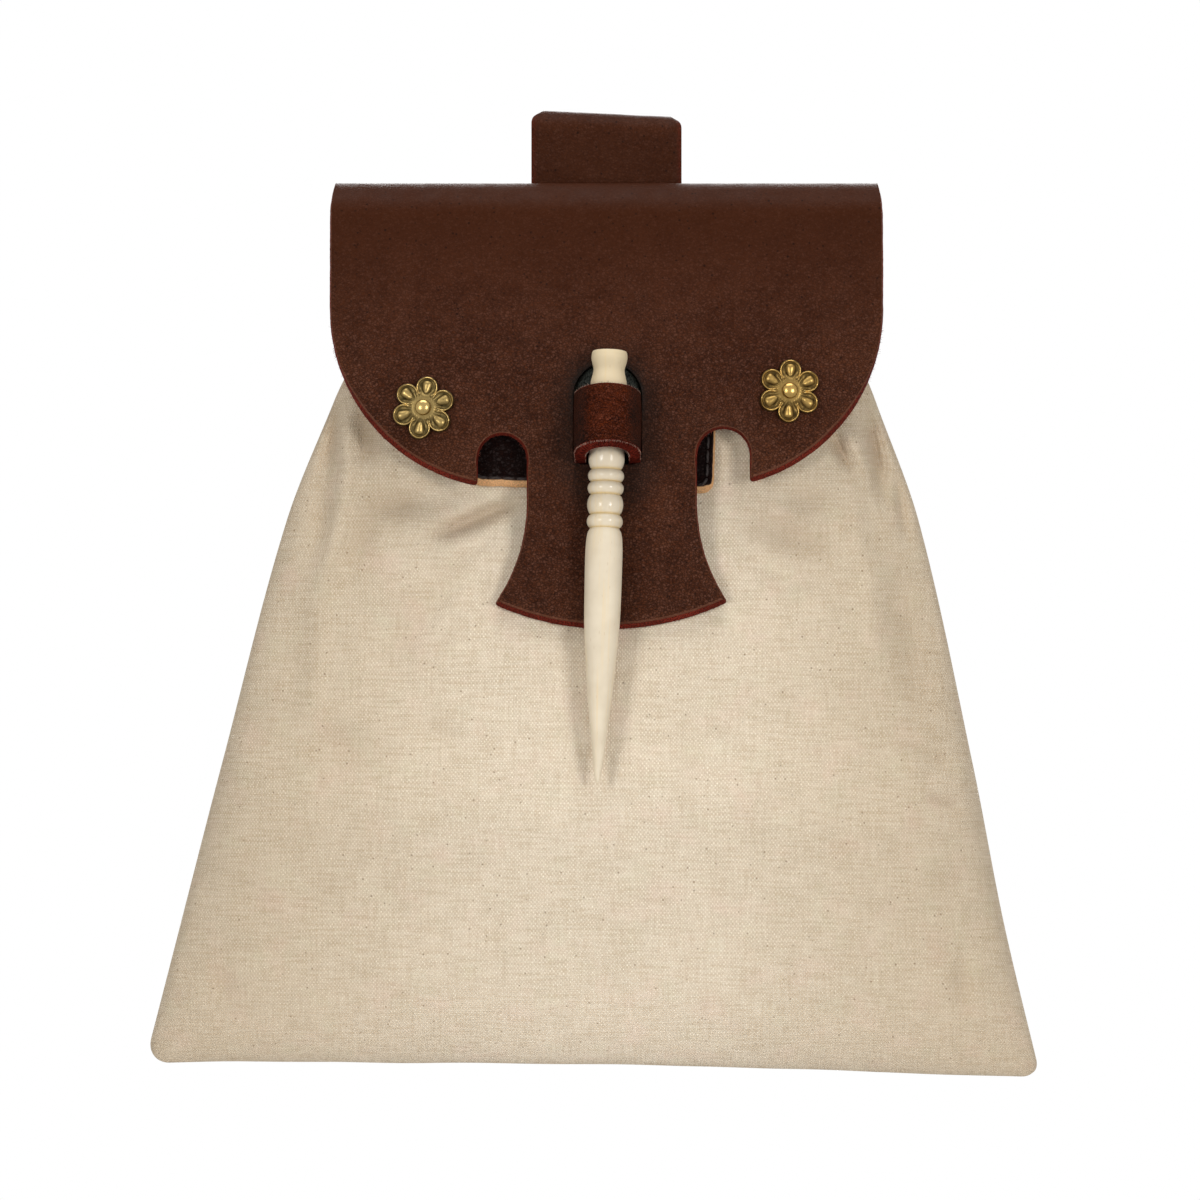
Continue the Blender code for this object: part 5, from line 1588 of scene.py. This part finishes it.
def panel_row(across, drop, inset, front):
    """Places (x, y, z) along one row of the front or back panel, across an array from -1 to 1."""
    height = BOTTOM_DROP - MOUTH_DROP
    level = MOUTH_DROP + (drop - MOUTH_DROP) * (height - inset) / height
    lean = max(drop - SHOULDER_DROP, 0) / (BOTTOM_DROP - SHOULDER_DROP)
    x = across * np.where(across < 0, pouch_reach(-1, drop) - inset, pouch_reach(1, drop) - inset)
    ripple = np.array([waves(a, 0, FOOT_RIPPLE) for a in x])
    z = FLAP_TOP - level - (BOTTOM_SLOPE * x + BOTTOM_CURVE * x ** 2 + ripple) * lean
    share = 1 - SEAM_SHARE if front else SEAM_SHARE
    depth = CANVAS_BACK_Y - FRONT_LINE(drop)
    low = max(drop - (BOTTOM_DROP - CLOSE_HEIGHT), 0) / CLOSE_HEIGHT
    closing = math.sqrt(max(1 - low * low, 0))
    bulge = share * depth * closing
    bulge -= inset * min(1, bulge / FULL_BULGE)
    if front:
        room = CANVAS_INSET - (LEATHER + 4 * FIT_GAP + WASHER_THICKNESS + TAIL_HEIGHT)
        beside = ease((abs(x - PATCH_SHIFT) - PATCH_WIDTH / 2 - SWELL_START) / SWELL_RAMP, 0, 1)
        down = min(max((BLADE_DROP - drop) / (BLADE_DROP - PATCH_LOWEST), 0), 1)
        start = min(max((drop - MOUTH_DROP - HEM_HEIGHT) / SWELL_RAMP, 0), 1)
        fade = 1 - max(drop - PATCH_LOWEST, 0) / (BOTTOM_DROP - PATCH_LOWEST)
        fall = SIDE_FALL * min(drop / LOBE_RUN, 1) * fade * (x / FLAP_HALF) ** 2
        bulge = bulge + (room * beside * down * start - fall) * closing
    bulge = bulge * (1 - abs(across) ** SECTION_SQUARENESS) ** SECTION_FULLNESS
    direction = -1 if front else 1
    y = CANVAS_BACK_Y - SEAM_SHARE * depth + direction * (bulge + FIT_GAP / 2)
    return np.stack([x, y, z], axis=1)


def crease_relief(x, drop, creases):
    """How far the canvas stands out at each place because of its creases, in metres."""
    relief = np.zeros_like(x)
    here = np.stack([x, drop], axis=-1) / MM
    for start, stop, width, height in creases:
        start = np.array(start)
        line = np.array(stop) - start
        share = np.clip(((here - start) @ line) / (line @ line), 0, 1)
        away = np.linalg.norm(here - start - share[..., None] * line, axis=-1)
        taper = 0.1 + 0.9 * np.sin(math.pi * share)
        relief += height * MM * taper * np.exp(-(away / width) ** 2)
    return relief


def panel_relief(points, across, front):
    """Outward relief of a canvas panel, its creases, unevenness and puckers, and the shade painted into its
    valleys.
    """
    x = points[..., 0]
    drop = FLAP_TOP - points[..., 2]
    creases = FRONT_CREASES if front else BACK_CREASES
    relief = CREASE_GAIN * crease_relief(x, drop, creases)
    seed = 11.5 if front else 31.5
    uneven = np.zeros_like(x)
    for i, j in np.ndindex(x.shape):
        a = x[i, j]
        b = drop[i, j]
        for k, (size, height) in enumerate(CANVAS_WAVES):
            uneven[i, j] += height * wander(a, b, size, seed + k)
        near_seam = math.exp(-(1 - abs(across[j])) * PUCKER_FADE)
        uneven[i, j] += PUCKER_HEIGHT * near_seam * wander(a / 4, b, PUCKER_SIZE, seed + 3)
    relief += uneven * ease(drop, *UNEVEN_FADE)
    if front:
        under_tongue = ease(abs(x), *TONGUE_SIDE_FADE) * ease(drop, *TONGUE_FOOT_FADE)
        relief = np.where(relief > 0, relief * (1 - under_tongue), relief)
    edge = 1 - abs(across)[None, :]
    # Painted shade: darker the deeper a crease's valley
    valleys = np.clip(crease_relief(x, drop, creases) / -VALLEY_DEPTH, 0, 1) * VALLEY_SHADE
    return relief * ease(edge, *SEAM_FADE) * ease(drop, *FOOT_FADE), valleys


def build_canvas(name, front, finish, columns, rows):
    """One panel of the pouch: a sewn sheet of canvas, creased and hemmed at the mouth."""
    crowded = np.sin(math.pi * (np.arange(columns + 1) / columns - 0.5))
    across = SIDE_CROWDING * crowded + (1 - SIDE_CROWDING) * np.linspace(-1, 1, columns + 1)
    low_start = BOTTOM_DROP - CLOSE_HEIGHT
    at_rows = np.array(ROW_SHARES) * (rows - BOTTOM_ROWS)
    at_drops = np.array([MOUTH_DROP, CREASED_TOP, CREASED_FOOT, low_start])
    drops = list(np.interp(np.arange(rows - BOTTOM_ROWS + 1), at_rows, at_drops))
    for i in range(1, BOTTOM_ROWS + 1):
        drops.append(low_start + CLOSE_HEIGHT * math.sin(math.pi / 2 * i / BOTTOM_ROWS))
    grids = []
    for inner in (False, True):
        hem = [1 + ease(drop, MOUTH_DROP + HEM_HEIGHT + MM, MOUTH_DROP + HEM_HEIGHT) for drop in drops]
        insets = [CANVAS * h if inner else 0.0 for h in hem]
        grid = np.array([panel_row(across, drop, inset, front) for drop, inset in zip(drops, insets)])
        if not inner:
            relief, valleys = panel_relief(grid, across, front)
        grid[..., 1] += relief * (-1 if front else 1)
        grids.append(grid)
    outer = grids[0]
    steps = np.linalg.norm(np.diff(outer, axis=1), axis=2)
    u = np.concatenate([np.zeros((len(drops), 1)), np.cumsum(steps, axis=1)], axis=1)
    u -= u[:, columns // 2][:, None]
    falls = np.linalg.norm(np.diff(outer[:, columns // 2], axis=0), axis=1)
    v = np.concatenate([[0], np.cumsum(falls)])[:, None] + np.zeros_like(u)
    pattern = np.stack([u, v], axis=-1).reshape(-1, 2)
    count = len(pattern)
    width = columns + 1
    points = np.concatenate([grid.reshape(-1, 3) for grid in grids])
    faces = []
    for layer in (0, count):
        for row in range(len(drops) - 1):
            start = layer + row * width
            faces += [(i, i + 1, i + width + 1, i + width) for i in range(start, start + columns)]
    last = (len(drops) - 1) * width
    for i in range(columns):
        faces.append((i, i + 1, count + i + 1, count + i))
        faces.append((last + i, last + i + 1, count + last + i + 1, count + last + i))
    for row in range(len(drops) - 1):
        for column in (0, columns):
            a = row * width + column
            faces.append((a, a + width, count + a + width, count + a))
    # Darker towards the foot, and painted shade darkening the panel towards its sides
    painted_side_shade_and_dark_foot = ease(v, v.max() - DARK_FOOT, v.max()) * DARK_FOOT_SHARE
    painted_side_shade_and_dark_foot = np.maximum(painted_side_shade_and_dark_foot, ease(abs(across)[None, :] + np.zeros_like(u), 0.1, 0.9)).reshape(-1)
    made = build_piece(name, points, faces, finish, np.concatenate([pattern, pattern]),
                       {"painted_side_shade_and_dark_foot": np.concatenate([painted_side_shade_and_dark_foot, painted_side_shade_and_dark_foot]), "fold": np.tile(valleys.reshape(-1), 2)}, sharp=80)
    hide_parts("canvas_front" if front else "canvas_back")
    return made


def add_light(name, place, target, size, watts):
    """Rectangular soft light that faces a target."""
    lamp = bpy.data.lights.new(name, "AREA")
    lamp.shape = "RECTANGLE"
    lamp.size, lamp.size_y = size
    lamp.energy = watts
    made = add_object(name, lamp)
    made.location = place
    made.rotation_euler = (Vector(target) - Vector(place)).to_track_quat("-Z", "Y").to_euler()


def build_studio():
    """Camera, lights, white background and pale floor."""
    camera = bpy.data.cameras.new("camera")
    camera.lens = camera.sensor_width * CAMERA_DISTANCE / VIEW_WIDTH
    camera.clip_end = 50
    holder = add_object("camera", camera)
    holder.location = (VIEW_CENTRE[0], STUDIO_MIDDLE[1] - CAMERA_DISTANCE, VIEW_CENTRE[1])
    holder.rotation_euler = (math.pi / 2, 0, 0)
    bpy.context.scene.camera = holder
    for name, place, size, watts in LAMPS:
        add_light(name, place, STUDIO_MIDDLE, size, watts)

    world = bpy.data.worlds.new("white")
    bpy.context.scene.world = world
    world.use_nodes = True
    nodes = world.node_tree.nodes
    links = world.node_tree.links
    path = nodes.new("ShaderNodeLightPath")
    seen = path.outputs["Is Camera Ray"]
    for other in ("Is Glossy Ray", "Is Transmission Ray"):
        either = nodes.new("ShaderNodeMath")
        either.operation = "MAXIMUM"
        links.new(seen, either.inputs[0])
        links.new(path.outputs[other], either.inputs[1])
        seen = either.outputs[0]
    strength = nodes.new("ShaderNodeMapRange")
    links.new(seen, strength.inputs["Value"])
    strength.inputs["To Min"].default_value = WORLD_LIGHT
    links.new(strength.outputs[0], nodes["Background"].inputs["Strength"])
    nodes["Background"].inputs["Color"].default_value = (1, 1, 1, 1)

    floor_finish = bpy.data.materials.new("pale_floor")
    floor_finish.use_nodes = True
    shader = floor_finish.node_tree.nodes["Principled BSDF"]
    shader.inputs["Base Color"].default_value = (0.86, 0.86, 0.86, 1)
    shader.inputs["Roughness"].default_value = 0.9
    bm = bmesh.new()
    bmesh.ops.create_circle(bm, cap_ends=True, segments=96, radius=FLOOR_RADIUS)
    floor_mesh = bpy.data.meshes.new("floor")
    bm.to_mesh(floor_mesh)
    bm.free()
    floor_mesh.materials.append(floor_finish)
    floor = add_object("floor", floor_mesh)
    floor.location = (0, 0, FLOOR_HEIGHT)
    bpy.context.scene.view_settings.view_transform = "Standard"


def main():
    """Builds every piece and the studio round them."""
    random.seed(4)
    thread = thread_finish()
    leather = leather_finish("oiled_leather", deep=(0.036, 0.0085, 0.0020), light=(0.097, 0.0305, 0.0132),
                             grain=1.3, edge=(0.24, 0.031, 0.017), dull=0.25, gloss=0.05)
    loop_leather = leather_finish("thick_leather", deep=(0.011, 0.0019, 0.0005),
                                  light=(0.122, 0.0228, 0.0062), grain=1.9, edge=(0.17, 0.021, 0.012),
                                  dull=0.2, gloss=0.02)
    patch_leather = leather_finish("waxed_leather", deep=(0.0052, 0.0013, 0.0010),
                                   light=(0.0117, 0.0039, 0.0026), grain=1.2, edge=(0.92, 0.52, 0.25),
                                   dull=0.7, gloss=0.03)
    canvas = canvas_finish()
    left_brass = brass_finish("left_aged_brass", (0.40, 0.28, 0.105), (0.016, 0.012, 0.004))
    right_brass = brass_finish("right_aged_brass", (0.40, 0.255, 0.08), (0.016, 0.009, 0.003))
    front = build_canvas("pouch_front", True, canvas, columns=210, rows=220)
    back = build_canvas("pouch_back", False, canvas, columns=120, rows=130)
    build_flap(leather, fibre_finish("red_fibres", (0.26, 0.058, 0.036)),
               fibre_finish("black_fibres", (0.070, 0.077, 0.064)))
    build_patch(patch_leather, thread, fibre_finish("tan_fibres", (0.85, 0.58, 0.35)))
    build_slot_suede(suede_finish())
    build_closure_loop(loop_leather, thread, fibre_finish("pale_fibres", (0.47, 0.29, 0.22)))
    build_belt_loop(leather, thread)
    build_panel_stitches(thread)
    build_pin(bone_finish())
    for side, x, drop, turn in rosette_places():
        brass = left_brass if side == "left" else right_brass
        build_rosette(side, x, drop, turn, brass)
        build_rivet(side, x, drop, brass)
    seam_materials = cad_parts["pouch_seam_thread"].data.materials
    seam_materials.clear()
    seam_materials.append(thread)
    build_studio()


main()
